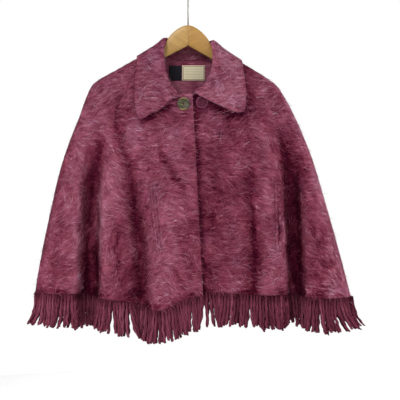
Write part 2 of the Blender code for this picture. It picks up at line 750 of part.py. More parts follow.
def make_arm(name, side, sections=20, sides=12):
    """One half of the hanger, lofted along X through rounded sections."""
    reach_out = [0.5 * SEAM_GAP + DOME_HALF * (k / 8) for k in range(8)]
    round_from = HANGER_HALF - ARM_END_ROUND
    reach_out += list(np.linspace(DOME_HALF + 1.0, round_from, sections - 12))
    reach_out += [round_from + ARM_END_ROUND * s for s in (0.45, 0.75, 0.93, 1.0)]
    bm = bmesh.new()
    rings = []
    for away in reach_out:
        x = side * away
        end = max(0.0, (away - round_from) / ARM_END_ROUND)
        shrink = math.sqrt(max(0.06, 1 - end * end))
        middle = 0.5 * (wood_top(x) + wood_low(x))
        half_tall = 0.5 * (wood_low(x) - wood_top(x)) * shrink
        arm = min(1.0, away / SHOULDER_HALF)
        half_thick = 0.5 * (HANGER_THICK + (ARM_THICK - HANGER_THICK) * arm) * shrink
        power = 2 / (4.5 - 2.3 * min(1.0, away / 75.0))
        ring = []
        for k in range(sides):
            angle = 2 * math.pi * (k + 0.5) / sides
            c, s = math.cos(angle), math.sin(angle)
            y = half_thick * math.copysign(abs(c) ** power, c)
            z = half_tall * math.copysign(abs(s) ** power, s)
            ring.append(bm.verts.new(Vector((x, y, -WOOD_TOP - middle + z)) * MM))
        rings.append(ring)
    for a, b in zip(rings, rings[1:]):
        for k in range(sides):
            m = (k + 1) % sides
            bm.faces.new((a[k], a[m], b[m], b[k]))
    bm.faces.new(rings[0])
    bm.faces.new(rings[-1])
    return finish_bmesh(name, bm, "beech", 35)


def hook_path():
    """The wire: a straight neck, a bend to one side, and an arc over the rail."""
    centre = WIRE_RADIUS - HOOK_RADIUS
    low = -WOOD_TOP + 0.5
    neck_top = low + HOOK_NECK - 8.0
    points = [(0.0, low), (0.0, low + 0.5 * HOOK_NECK), (0.0, neck_top)]
    start = math.radians(-58)
    join = (HOOK_RADIUS * math.cos(start), centre + HOOK_RADIUS * math.sin(start))
    points += [(0.22 * join[0], neck_top + 5.0), (0.66 * join[0], neck_top + 0.62 * (join[1] - neck_top))]
    for k in range(17):
        angle = start + math.radians(258) * k / 16
        points.append((HOOK_RADIUS * math.cos(angle), centre + HOOK_RADIUS * math.sin(angle)))
    return points


def make_hook():
    data = bpy.data.curves.new("hanger_hook", "CURVE")
    data.dimensions = "3D"
    spline = data.splines.new("POLY")
    points = path_curve(hook_path())(np.linspace(0, 1, 34))
    spline.points.add(len(points) - 1)
    for spot, (x, z) in zip(spline.points, points):
        spot.co = (x * MM, 0.0, z * MM, 1.0)
    data.bevel_depth = WIRE_RADIUS * MM
    data.bevel_resolution = 2
    data.use_fill_caps = True
    return add_object("hanger_hook", data, "wire")


def main():
    clear_scene()
    make_arm("hanger_right_arm", -1)
    make_arm("hanger_left_arm", 1)
    make_hook()
    make_panel("back")
    for panel in ("right_front", "left_front"):
        cut_slit(make_panel(panel))
        make_welts(panel)
    make_collar()
    make_buttons()
    make_label("neck_label_dark", "dark_label")
    make_label("neck_label_light", "light_label")
    for seed, panel in enumerate(LOCKS):
        make_fringe(panel, seed)


main()
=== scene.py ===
"""A fringed mohair cape on a wooden hanger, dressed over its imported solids.

Sizes are in millimetres, apart from those in the finishes, the lights and the camera, which are in metres. A drop
is a height measured down from the top of the hanger's dome. An outward of -1 or 1 is the sign of y that a cloth's
outer side faces."""

import math

import bmesh
import bpy
import numpy as np
from mathutils import Matrix, Vector
from mathutils.bvhtree import BVHTree


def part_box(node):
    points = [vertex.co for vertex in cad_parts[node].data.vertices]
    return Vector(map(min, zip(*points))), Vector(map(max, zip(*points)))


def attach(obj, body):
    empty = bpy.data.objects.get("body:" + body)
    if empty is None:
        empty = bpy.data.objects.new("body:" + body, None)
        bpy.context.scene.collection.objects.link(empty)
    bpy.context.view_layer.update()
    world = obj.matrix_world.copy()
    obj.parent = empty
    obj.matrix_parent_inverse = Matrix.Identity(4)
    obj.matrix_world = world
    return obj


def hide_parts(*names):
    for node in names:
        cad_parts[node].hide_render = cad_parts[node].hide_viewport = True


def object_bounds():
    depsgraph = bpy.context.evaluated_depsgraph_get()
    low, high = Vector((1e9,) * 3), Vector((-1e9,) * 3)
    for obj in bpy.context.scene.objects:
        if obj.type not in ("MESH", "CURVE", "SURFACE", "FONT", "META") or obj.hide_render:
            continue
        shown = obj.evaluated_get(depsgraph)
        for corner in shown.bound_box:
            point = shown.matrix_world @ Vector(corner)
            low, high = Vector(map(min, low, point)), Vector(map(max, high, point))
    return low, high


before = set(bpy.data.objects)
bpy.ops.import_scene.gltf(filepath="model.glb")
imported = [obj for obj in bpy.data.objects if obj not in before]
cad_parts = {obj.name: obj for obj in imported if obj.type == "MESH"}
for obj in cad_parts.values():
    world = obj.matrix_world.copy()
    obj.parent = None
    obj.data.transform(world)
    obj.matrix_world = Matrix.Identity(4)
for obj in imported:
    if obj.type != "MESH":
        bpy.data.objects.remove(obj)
cad_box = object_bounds()
scene = bpy.context.scene
MM = 0.001
# The height of the top of the hanger's dome.
DOME_Z = -111.0
# The least and the most y that a hair may reach.
OUTERMOST = cad_box[0][1] / MM - 13, cad_box[1][1] / MM + 13


# Finishes

def rgb(red, green, blue):
    """A colour as the screen shows it, 0 to 255, made linear."""
    return tuple((c / 255 / 12.92) if c < 11 else ((c / 255 + 0.055) / 1.055) ** 2.4 for c in (red, green, blue))


class Shade:
    """A socket of a finish that can stand in a sum: each operator adds a Math node."""

    def __init__(self, finish, socket):
        self.finish, self.socket = finish, socket

    def __add__(self, other):
        return self.of("ADD", other)

    def __sub__(self, other):
        return self.of("SUBTRACT", other)

    def __rsub__(self, other):
        return self.finish.add("Math", {"operation": "SUBTRACT"}, {0: other, 1: self})

    def __mul__(self, other):
        return self.of("MULTIPLY", other)

    def __truediv__(self, other):
        return self.of("DIVIDE", other)

    def __lt__(self, other):
        return self.of("LESS_THAN", other)

    def __gt__(self, other):
        return self.of("GREATER_THAN", other)

    def of(self, operation, other=0.0):
        return self.finish.add("Math", {"operation": operation}, {0: self, 1: other})

    def axes(self):
        node = self.finish.add("SeparateXYZ", {}, {0: self}).socket.node
        return [Shade(self.finish, out) for out in node.outputs]


class Finish:
    """A material in the making. Its add method takes a node's type, its settings and its inputs, and gives its
    output."""

    def __init__(self, name, **constants):
        self.material = bpy.data.materials.new(name)
        self.material.use_nodes = True
        self.tree = self.material.node_tree
        self.shader = self.tree.nodes["Principled BSDF"]
        for socket, value in constants.items():
            self.shader.inputs[socket.replace("_", " ")].default_value = value

    def add(self, kind, settings, inputs, out=0):
        node = self.tree.nodes.new("ShaderNode" + kind)
        for name, value in settings.items():
            if name == "stops":
                for i, (place, colour) in enumerate(value):
                    stops = node.color_ramp.elements
                    stop = stops[i] if i < 2 else stops.new(place)
                    stop.position, stop.color = place, (*colour, 1.0)
            else:
                setattr(node, name, value)
        for name, value in inputs.items():
            if isinstance(value, Shade):
                self.tree.links.new(value.socket, node.inputs[name])
            else:
                node.inputs[name].default_value = value
        return Shade(self, node.outputs[out])

    def place(self):
        return self.add("TexCoord", {}, {}, out="Object")

    def mapped(self, vector, scale, turn=(0, 0, 0)):
        return self.add("Mapping", {}, {"Vector": vector, "Scale": scale, "Rotation": turn})

    def noise(self, vector, scale, detail=3.0, rough=0.55, out=0):
        inputs = {"Vector": vector, "Scale": scale, "Detail": detail, "Roughness": rough}
        return self.add("TexNoise", {}, inputs, out)

    def warped(self, vector, scale, amount):
        """vector pushed about by a slow noise, by up to half amount."""
        push = self.noise(vector, scale, 2.0, out="Color")
        centred = self.add("VectorMath", {"operation": "SUBTRACT"}, {0: push, 1: (0.5, 0.5, 0.5)})
        scaled = self.add("VectorMath", {"operation": "SCALE"}, {0: centred, "Scale": amount})
        return self.add("VectorMath", {"operation": "ADD"}, {0: vector, 1: scaled})

    def ramp(self, value, *stops):
        return self.add("ValToRGB", {"stops": stops}, {0: value})

    def mix(self, share, first, second, blend="MIX"):
        """Two colours mixed. The node's sockets 6 and 7 take them, and its output 2 gives the result."""
        colours = [c if isinstance(c, Shade) else (*c, 1.0) for c in (first, second)]
        settings = {"data_type": "RGBA", "blend_type": blend}
        return self.add("Mix", settings, {0: share, 6: colours[0], 7: colours[1]}, 2)

    def between(self, value, low, high):
        """How far value has come from low to high, held between 0 and 1."""
        return self.add("MapRange", {}, {0: value, 1: low, 2: high})

    def clouded(self, colour):
        """A colour that drifts towards violet in soft patches, and is a little duller towards the shoulders."""
        share = self.between(self.noise(self.place(), 20.0, 4.0), 0.38, 0.66)
        colour = self.mix(share * 0.4, colour, self.mix(1.0, colour, (0.88, 1.02, 1.18), "MULTIPLY"))
        high = self.between(self.place().axes()[2], -0.42, -0.24)
        return self.mix(high, colour, self.mix(1.0, colour, (0.99, 1.16, 1.12), "MULTIPLY"))

    def round_middle(self, x_mid, z_mid, radius):
        """How far a point lies from a middle, as a share of radius, and its height over that middle."""
        x, _, z = self.place().axes()
        x, z = x - x_mid, z - z_mid
        return (x * x + z * z).of("POWER", 0.5) / radius, z

    def feed(self, **sockets):
        for name, value in sockets.items():
            self.tree.links.new(value.socket, self.shader.inputs[name.replace("_", " ")])

    def bump(self, height, depth):
        """Relief of depth metres for a height of 1."""
        self.feed(Normal=self.add("Bump", {}, {"Strength": 1.0, "Distance": depth, "Height": height}))


# The wool's colours from the deepest hollow to the palest hair. The first two are the ramp's own ends.
PLUMS = ((0.0, rgb(38, 3, 17)), (1.0, rgb(222, 180, 200)), (0.2, rgb(76, 18, 37)), (0.4, rgb(118, 51, 69)),
         (0.55, rgb(147, 77, 96)), (0.75, rgb(183, 117, 138)))


def mohair_ground():
    """The cloth under its nap: fine streaks of combed yarn in plum and rose, deeper where its tone map, which
    holds painted shade and light, is low.
    """
    f = Finish("mohair_ground", Roughness=0.95, Specular_IOR_Level=0.0, Sheen_Weight=0.03, Sheen_Roughness=0.45,
               Sheen_Tint=(*rgb(226, 160, 184), 1))
    place = f.warped(f.place(), 11.0, 0.03)
    streak = f.noise(f.mapped(place, (45, 45, 430)), 1.0, 4.0, 0.6)
    fine = f.noise(f.mapped(place, (160, 160, 1100)), 1.0, 2.0, 0.6)
    tone = f.add("Attribute", {"attribute_name": "tone"}, {}, "Fac")
    level = streak * 0.30 + fine * 0.16 + tone - 0.23
    f.feed(Base_Color=f.clouded(f.ramp(level, *PLUMS)))
    f.bump(streak * 0.6 + fine * 0.4, 0.0016)
    return f.material


def nap_hair():
    """Brushed hairs: a hair's shade lies across its map and its length along it, a little darker at the root as
    painted shade.
    """
    f = Finish("nap_hair", Roughness=0.8, Specular_IOR_Level=0.0)
    u, v, _ = f.add("UVMap", {"uv_map": "strand"}, {}).axes()
    tone = f.clouded(f.ramp(u, *PLUMS))
    # Painted shade: each hair darkens towards its root.
    f.feed(Base_Color=f.mix(v.of("POWER", 0.6), f.mix(1.0, tone, (0.66, 0.56, 0.6), "MULTIPLY"), tone))
    return f.material


def fringe_yarn():
    """Looped wool: a duller plum than the nap, rough with small loops."""
    f = Finish("fringe_yarn", Roughness=0.95, Specular_IOR_Level=0.0)
    shade = f.add("UVMap", {"uv_map": "strand"}, {}).axes()[0]
    loops = f.noise(f.place(), 420.0, 3.0, 0.65)
    tufts = f.noise(f.place(), 170.0, 3.0, 0.6)
    level = shade * 0.62 + loops * 0.14 + tufts * 0.24
    f.feed(Base_Color=f.ramp(level, (0.16, rgb(38, 7, 19)), (0.80, rgb(160, 92, 113)), (0.45, rgb(109, 51, 67))))
    f.bump(loops, 0.0012)
    return f.material


def beech(name, light, middle, dark, slope):
    """Lacquered beech with its grain along a sloping arm, small flecks and a knot near the middle."""
    f = Finish(name, Coat_Weight=0.08, Coat_Roughness=0.3)
    place = f.mapped(f.place(), (1, 1, 1), (0, math.radians(slope), 0))
    grain = f.noise(f.mapped(f.warped(place, 7.0, 0.02), (9, 90, 150)), 1.0, 4.0, 0.6)
    fleck = f.noise(f.mapped(place, (120, 700, 900)), 1.0, 1.0)
    x, _, z = f.place().axes()
    knot = ((x - 0.0128) * (x - 0.0128) * 4 + (z + 0.1135) * (z + 0.1135)).of("POWER", 0.5)
    tone = f.ramp(grain * 0.8 + fleck * 0.2, (0.3, dark), (0.72, light), (0.5, middle))
    f.feed(Base_Color=f.mix((knot < 0.0022) * 0.55, tone, rgb(96, 58, 26)), Roughness=grain * 0.15 + 0.4)
    f.bump(grain * 0.6 + fleck * 0.4, 0.00025)
    return f.material


def wood_edge():
    f = Finish("beech_edge", Roughness=0.6, Specular_IOR_Level=0.2)
    grain = f.noise(f.mapped(f.place(), (60, 60, 400)), 1.0, 3.0)
    f.feed(Base_Color=f.ramp(grain, (0.3, rgb(146, 108, 58)), (0.7, rgb(168, 132, 80))))
    return f.material


def glue_line():
    f = Finish("dark_glue", Roughness=0.8)
    f.feed(Base_Color=f.ramp(f.noise(f.place(), 300.0), (0.3, rgb(104, 72, 36)), (0.7, rgb(130, 94, 50))))
    return f.material


def hook_wire():
    f = Finish("hook_wire", Metallic=1.0)
    wear = f.noise(f.mapped(f.place(), (400, 400, 60)), 1.0, 3.0)
    tone = f.ramp(wear, (0.35, rgb(122, 118, 112)), (0.7, rgb(176, 172, 164)))
    f.feed(Base_Color=tone, Roughness=wear * 0.3 + 0.18)
    f.bump(wear, 0.0001)
    return f.material


def marbled_horn():
    """Polished horn: tan towards its top and bottom edges, olive between, with grey-brown bands across."""
    f = Finish("marbled_horn", Roughness=0.5, Specular_IOR_Level=0.3, Coat_Weight=0.08, Coat_Roughness=0.3)
    radius = 0.015
    reach, z = f.round_middle(-0.010, -0.2997, radius)
    bands = f.noise(f.mapped(f.warped(f.place(), 70.0, 0.014), (90, 90, 260)), 1.0, 3.0)
    flesh = f.ramp(bands, (0.32, rgb(12, 9, 5)), (0.72, rgb(122, 108, 66)), (0.46, rgb(42, 38, 20)),
                   (0.58, rgb(70, 66, 40)))
    tan = f.ramp(bands, (0.3, rgb(86, 68, 36)), (0.7, rgb(178, 156, 104)))
    pole = f.between(z.of("ABSOLUTE") / radius + reach * 0.3, 0.84, 1.24)
    # The small dish in the middle is nearly black: painted shade in its recess.
    f.feed(Base_Color=f.mix((reach < 0.13) * 0.85, f.mix(pole, flesh, tan), rgb(14, 9, 6)))
    f.bump(bands, 0.0002)
    return f.material


def plain_plum():
    """A moulded button in a deep plum, a little lighter on its rim."""
    f = Finish("plum_moulding", Roughness=0.7, Specular_IOR_Level=0.15)
    reach, _ = f.round_middle(0.0324, -0.2958, 0.0142)
    cloud = f.noise(f.place(), 160.0, 3.0)
    tone = f.ramp(cloud, (0.3, rgb(56, 10, 28)), (0.7, rgb(82, 24, 46)))
    rim = f.ramp(cloud, (0.3, rgb(76, 24, 46)), (0.7, rgb(116, 60, 84)))
    f.feed(Base_Color=f.mix(f.between(reach, 0.78, 0.86), tone, rim))
    f.bump(cloud, 0.0002)
    return f.material


def woven_label(name, ground, thread, border=None, middle=(0.0, 0.0), half=(0.0, 0.0)):
    """A close satin weave in ribs. Where border gives a thread's colour and an edge's, a thin woven line runs
    inside the edge and broken stripes cross the label, whose middle and half sizes are given."""
    f = Finish(name, Roughness=0.7, Specular_IOR_Level=0.2)
    ribs = f.add("TexWave", {"bands_direction": "Z"}, {"Vector": f.place(), "Scale": 520.0, "Distortion": 0.6})
    warp = f.add("TexWave", {"bands_direction": "X"}, {"Vector": f.place(), "Scale": 620.0, "Distortion": 0.4})
    cloud = f.noise(f.place(), 190.0, 3.0)
    tone = f.mix(ribs * 0.4 + warp * 0.2 + cloud * 0.3, ground, thread)
    if border:
        x, _, z = f.place().axes()
        edge = (half[0] - (x - middle[0]).of("ABSOLUTE")).of("MINIMUM", half[1] - (z - middle[1]).of("ABSOLUTE"))
        line = (edge > 0.0022) * (edge < 0.0036)
        stripe = ((z - middle[1]) / 0.0062 + 10.0).of("FRACT")
        stripe = (stripe > 0.36) * (stripe < 0.62) * (edge > 0.0065) * cloud
        tone = f.mix(stripe * 0.65, tone, border[0])
        tone = f.mix((edge < 0.0014) * 0.7, f.mix(line * 0.9, tone, border[0]), border[1])
    f.feed(Base_Color=tone)
    f.bump(ribs * 0.6 + warp * 0.4, 0.00018)
    return f.material


# Pieces

def show(name, mesh, finish, slot, *nodes):
    """Puts a mesh in the scene as one piece, riding on the frame, with its finish and the nodes it stands for."""
    piece = bpy.data.objects.new(name, mesh)
    scene.collection.objects.link(piece)
    mesh.materials.clear()
    for material in finish if isinstance(finish, (list, tuple)) else [finish]:
        mesh.materials.append(material)
    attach(piece, "root")
    if nodes:
        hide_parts(*nodes)
    return piece


def copied(node, quads=True):
    """A merged copy of a node's solid, as a bmesh."""
    bm = bmesh.new()
    bm.from_mesh(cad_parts[node].data)
    bmesh.ops.remove_doubles(bm, verts=bm.verts, dist=2e-5)
    if quads:
        bmesh.ops.join_triangles(bm, faces=bm.faces, angle_face_threshold=0.6, angle_shape_threshold=2.5)
    return bm


def made(bm, name):
    """A bmesh turned into a mesh."""
    mesh = bpy.data.meshes.new(name)
    bm.to_mesh(mesh)
    bm.free()
    return mesh


def softened(node, levels, keep_angle=55):
    """A copy of a node, subdivided, whose cut edges stay where they are."""
    bm = copied(node)
    crease = bm.edges.layers.float.new("crease_edge")
    for edge in bm.edges:
        edge[crease] = 1.0 if edge.calc_face_angle(3.0) > math.radians(keep_angle) else 0.0
    holder = bpy.data.objects.new("holder", made(bm, node))
    scene.collection.objects.link(holder)
    modifier = holder.modifiers.new("smooth", "SUBSURF")
    modifier.levels = modifier.render_levels = levels
    bpy.context.view_layer.update()
    finer = bpy.data.meshes.new_from_object(holder.evaluated_get(bpy.context.evaluated_depsgraph_get()))
    bpy.data.objects.remove(holder)
    finer.shade_smooth()
    return finer


def rows_of(source, field):
    """A field of three numbers of all a mesh's points, one row each."""
    found = np.empty(len(source) * 3, np.float32)
    source.foreach_get(field, found)
    return found.reshape(-1, 3).astype(float)


def read(mesh):
    """A mesh's points, in millimetres."""
    return rows_of(mesh.vertices, "co") / MM


def write(mesh, points):
    """Gives a mesh its points, in millimetres."""
    mesh.vertices.foreach_set("co", (points * MM).astype(np.float32).ravel())


def beside(x, drop, x0, drop0, x1, drop1):
    """Where points lie by a line: the share of it that they are along, and how far they are aside."""
    along = np.array((x1 - x0, drop1 - drop0), float)
    long = np.hypot(*along)
    along /= long
    share = ((x - x0) * along[0] + (drop - drop0) * along[1]) / long
    return share, (drop - drop0) * along[0] - (x - x0) * along[1]


def press(mesh, outward, rows):
    """Presses soft creases into a cloth along y. Each row is x and drop at both ends, depth, half width and bow;
    a negative depth raises a ridge, and a bow swings the crease's middle sideways."""
    points = read(mesh)
    x, drop = points[:, 0], DOME_Z - points[:, 2]
    for *line, depth, half, bow in rows:
        share, aside = beside(x, drop, *line)
        middle = np.sin(np.pi * np.clip(share, 0, 1))
        points[:, 1] -= outward * depth * middle ** 0.6 * np.exp(-((aside - bow * middle) / half) ** 2)
    write(mesh, points)
    mesh.update()


def walls(objects):
    """A tree of all these pieces' faces, to feel for what lies close."""
    points, faces, start = [], [], 0
    for piece in objects:
        points.append(read(piece.data))
        faces += [tuple(v + start for v in face.vertices) for face in piece.data.polygons]
        start += len(piece.data.vertices)
    return BVHTree.FromPolygons([tuple(p) for p in np.concatenate(points)], faces)


def pulled(mesh, under, *pulls):
    """Draws parts of a cloth aside or down: each pull is x, drop, the way in x and in drop, and the reach. What
    would then lie in the cloth under it is lifted clear."""
    points, outer = read(mesh), rows_of(mesh.vertex_normals, "vector")[:, 1] < 0
    x, drop = points[:, 0].copy(), DOME_Z - points[:, 2]
    below = walls([under])
    for cx, cdrop, dx, ddrop, reach in pulls:
        share = np.exp(-((x - cx) ** 2 + (drop - cdrop) ** 2) / reach ** 2)
        points += np.outer(share, (dx, 0, -ddrop))
        for k in np.flatnonzero(share > 0.05):
            hit = below.ray_cast(Vector((points[k, 0], -300, points[k, 2])), Vector((0, 1, 0)))[0]
            if hit is not None:
                points[k, 1] = min(points[k, 1], hit.y - (3.2 if outer[k] else 0.8))
    write(mesh, points)
    mesh.update()


def drift(points, size, seed):
    """A smooth wander, mostly between -1 and 1, whose swells are about size apart."""
    draw = np.random.default_rng(seed)
    total = np.zeros(len(points))
    for _ in range(7):
        way = draw.normal(size=3)
        way *= 2 * math.pi / size * draw.uniform(0.6, 1.5) / np.linalg.norm(way)
        total += np.sin(points @ way + draw.uniform(0, 6.3))
    return total / 2.4


def joined(name, points, faces, sizes, maps):
    """One mesh of many strands, from its points, its faces' corners, each face's count of them, and its map."""
    mesh = bpy.data.meshes.new(name)
    mesh.vertices.add(len(points))
    write(mesh, points)
    mesh.loops.add(len(faces))
    mesh.loops.foreach_set("vertex_index", faces.astype(np.int32))
    mesh.polygons.add(len(sizes))
    mesh.polygons.foreach_set("loop_start", np.concatenate(([0], np.cumsum(sizes)[:-1])).astype(np.int32))
    mesh.uv_layers.new(name="strand")
    mesh.uv_layers["strand"].uv.foreach_set("vector", maps[faces].astype(np.float32).ravel())
    mesh.update(calc_edges=True)
    mesh.shade_smooth()
    return mesh


def unit(v):
    """Each row of an array made one long."""
    return v / np.maximum(np.linalg.norm(v, axis=1, keepdims=True), 1e-9)


def hairs(name, ways, side, wide, shade):
    """Joined flat hairs along their ways, an array of points from roots to tips, each tapering to its tip."""
    steps, count = len(ways) - 1, len(shade)
    rings, maps = [], []
    for k, way in enumerate(ways):
        half = side * (wide * 0.5 * (1.0 if k < steps - 1 else 0.7))[:, None]
        edge = np.stack((shade, np.full(count, k / steps)), 1)
        rings += [way - half, way + half] if k < steps else [way]
        maps += [edge, edge] if k < steps else [edge]
    each = len(rings)
    points = np.stack(rings, 1).reshape(-1, 3)
    places = np.stack(maps, 1).reshape(-1, 2)
    pattern, sizes = [], [4] * (steps - 1) + [3]
    for k in range(steps - 1):
        pattern += [2 * k, 2 * k + 1, 2 * k + 3, 2 * k + 2]
    pattern += [2 * steps - 2, 2 * steps - 1, 2 * steps]
    faces = (np.arange(count)[:, None] * each + np.array(pattern)).ravel()
    return joined(name, points, faces, np.tile(sizes, count), places)


def yarns(name, paths, thick, shade, sides=4):
    """Joined closed yarns, each through the points of its path, which runs downwards, with painted shade on its
    flanks."""
    count, rings = paths.shape[:2]
    turn = np.arange(sides) * 2 * math.pi / sides
    circle = np.stack((np.cos(turn), np.sin(turn), np.zeros(sides)), 1)
    points = paths[:, :, None, :] + circle * thick[:, :, None, None]
    maps = np.empty((count, rings, sides, 2))
    # Painted shade: each yarn is darker on its sides towards x, so that it reads round.
    maps[..., 0] = np.clip(shade[:, :, None] - 0.10 * np.abs(np.cos(turn)), 0, 1)
    maps[..., 1] = np.linspace(0, 1, rings)[None, :, None]
    pattern = []
    for low in range(0, (rings - 1) * sides, sides):
        for m in range(sides):
            n = (m + 1) % sides
            pattern += [low + m, low + sides + m, low + sides + n, low + n]
    pattern += list(range(sides)) + [(rings - 1) * sides + m for m in reversed(range(sides))]
    sizes = [4] * ((rings - 1) * sides) + [sides, sides]
    faces = (np.arange(count)[:, None] * rings * sides + np.array(pattern)).ravel()
    return joined(name, points.reshape(-1, 3), faces, np.tile(sizes, count), maps.reshape(-1, 2))


# Cloth

# Each crease: x and drop of both ends, depth, half width, bow.
RIGHT_CREASES = (
    (-152, 270, -93, 690, 7.5, 15, -5), (-168, 470, -146, 672, 6.0, 13, 3), (-70, 286, -2, 392, 5.0, 13, 5),
    (-288, 410, -324, 640, 5.0, 15, -6), (-190, 300, -178, 600, -2.6, 13, 9), (-120, 215, -90, 300, 2.6, 10, -5),
    (-40, 205, -8, 240, 5.0, 9, 5), (-34, 400, -26, 600, 2.6, 12, -6), (-6, 330, 10, 600, 2.6, 9, 4),
    (-236, 230, -258, 400, 3.4, 12, 6), (-60, 225, 8, 258, 1.8, 7, 4), (-205, 260, -192, 420, 3.0, 12, -5),
)
LEFT_CREASES = (
    (133, 325, 160, 640, 8.0, 16, -5), (118, 205, 142, 330, 3.6, 14, -8), (62, 280, 72, 560, 2.8, 13, 9),
    (232, 230, 226, 340, 4.2, 14, -6), (100, 430, 96, 620, 2.6, 12, 6), (300, 420, 336, 610, 3.4, 13, 8),
    (184, 520, 196, 640, 4.0, 13, 4), (24, 225, 88, 262, 2.4, 8, 5), (320, 330, 352, 520, 2.2, 10, -6),
    (44, 420, 52, 610, 2.2, 9, -4),
)
BACK_CREASES = (
    (-190, 200, -128, 540, 4.5, 16, 12), (-40, 250, -56, 560, 3.6, 14, -9), (60, 240, 84, 560, 4.0, 15, 10),
    (180, 230, 222, 540, 4.0, 15, -10), (-280, 320, -292, 560, 3.0, 13, 8), (300, 360, 322, 560, 3.0, 13, -8),
    (6, 140, 22, 300, 2.4, 13, 5), (-110, 330, -100, 560, -2.8, 14, 7), (134, 300, 140, 570, -2.6, 14, -7),
)
COLLAR_CREASES = (
    (-62, 100, -88, 150, 1.3, 9, 4), (52, 95, 88, 150, 1.3, 10, -4), (-30, 135, -38, 178, 1.2, 8, 3),
    (74, 150, 100, 196, 1.2, 8, 3), (36, 120, 52, 170, 1.0, 8, -3),
)

cloth_finish, hair_finish, yarn_finish = mohair_ground(), nap_hair(), fringe_yarn()
# Each sheet's node, the side that it faces, its creases, and its cut in metres and square metres.
CLOTHS = {
    "right_front_cloth": ("right_front", -1, RIGHT_CREASES, (0.52, 0.64), 0.211),
    "left_front_cloth": ("left_front", -1, LEFT_CREASES, (0.45, 0.62), 0.189),
    "back_cloth": ("back", 1, BACK_CREASES, (0.82, 0.62), 0.331),
    "collar_cloth": ("collar", -1, COLLAR_CREASES, (0.54, 0.15), 0.057),
}
# Each pull's x, drop, way in x and in drop, and reach: at the points and the front end, then at the top corners.
COLLAR_PULLS = (
    (-108, 220, -5.5, 6.5, 11), (-83, 219, 0, -7, 14), (-29, 163, 6, 9, 13), (-54, 45, 3.5, -1.5, 9),
    (57, 46, -3.0, 2.0, 9), (-50, 35, 0, -6.5, 6), (58, 33, 0, 4.0, 8),
)
# In metres, how far each lip of a slit is drawn over it, and how deep the lips sink into the nap.
LIP_DRAW, LIP_SINK = 0.0011, {"right": 0.0009, "left": 0.0013}
cloths = {}
for name, (node, outward, creases, _, _) in CLOTHS.items():
    mesh = softened(node, 2)
    press(mesh, outward, creases)
    cloths[name] = show(name, mesh, cloth_finish, "mohair", node)
pulled(cloths["collar_cloth"].data, cloths["right_front_cloth"], *COLLAR_PULLS)
for node in [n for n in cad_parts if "welt" in n]:
    front, where = node.split("_")[0], node.split("_")[-1]
    towards = LIP_DRAW if (front == "left") == (where == "inner") else -LIP_DRAW
    mesh = softened(node, 2)
    mesh.transform(Matrix.Translation((towards, LIP_SINK[front], 0)))
    cloths[node + "_lip"] = show(node + "_lip", mesh, cloth_finish, "mohair", node)


# Tone

# The maps of a cloth seen from the front: a cell's size, their low corner in x and z, and their counts.
CELL, GRID_LOW, GRID_SIZE = 5.0, np.array((-400.0, -800.0)), (165, 140)


def blurred(grid, reach):
    """A grid smoothed with a bell of that reach in millimetres."""
    span = np.arange(-int(3 * reach / CELL), int(3 * reach / CELL) + 1) * CELL
    bell = np.exp(-(span / reach) ** 2 / 2)
    for axis in (0, 1):
        grid = np.apply_along_axis(lambda row: np.convolve(row, bell, "same"), axis, grid)
    return grid


def looked_up(grid, points):
    """The grid's values at points, blended between its cells."""
    at = np.clip((points[:, (0, 2)] - GRID_LOW) / CELL - 0.5, 0, np.array(GRID_SIZE) - 1.001)
    low = at.astype(int)
    (i, j), (s, t) = low.T, (at - low).T
    return ((1 - s) * (1 - t) * grid[i, j] + s * (1 - t) * grid[i + 1, j]
            + (1 - s) * t * grid[i, j + 1] + s * t * grid[i + 1, j + 1])


def hollows(mesh, outward):
    """Maps of a cloth: how far it lies behind what is round it, further off and near by, its hem's height, and
    how near its outline on the +x side is."""
    points, facing = read(mesh), rows_of(mesh.vertex_normals, "vector")[:, 1] * outward
    outer = points[facing > 0.05]
    i, j = ((outer[:, (0, 2)] - GRID_LOW) / CELL).astype(int).T
    total, count, hem = np.zeros(GRID_SIZE), np.zeros(GRID_SIZE), np.full(GRID_SIZE, 99.0)
    np.add.at(total, (i, j), outer[:, 1])
    np.add.at(count, (i, j), 1)
    fine, near, wide = (blurred(total, r) / np.maximum(blurred(count, r), 1e-6) for r in (4.5, 15, 42))
    np.minimum.at(hem, (i, np.zeros_like(i)), outer[:, 2])
    filled = np.flatnonzero(hem[:, 0] < 90)
    hem[:] = np.interp(np.arange(GRID_SIZE[0]), filled, hem[filled, 0])[:, None]
    covered = blurred(count, 6) > 0.5
    steps = np.arange(GRID_SIZE[0])[:, None]
    first = np.where(covered, steps, 999).min(0)
    last = np.where(covered, steps, -1).max(0)
    inside = np.clip(np.minimum(steps - first, last - steps) * CELL / 42 - 0.2, 0, 1)
    rows = np.arange(GRID_SIZE[1])[None, :]
    top = np.where(covered, rows, -1).max(1)[:, None]
    inside *= np.clip((top - rows) * CELL / 60 - 0.2, 0, 1)
    reach = (np.where(count > 0, steps, -1).max(0) - steps) * CELL
    rim = np.clip(1 - reach / 22, 0, 1) + 1.3 * np.clip(1 - reach / 11, 0, 1)
    return outward * (wide - fine) * inside, outward * (near - fine) * inside, hem, rim
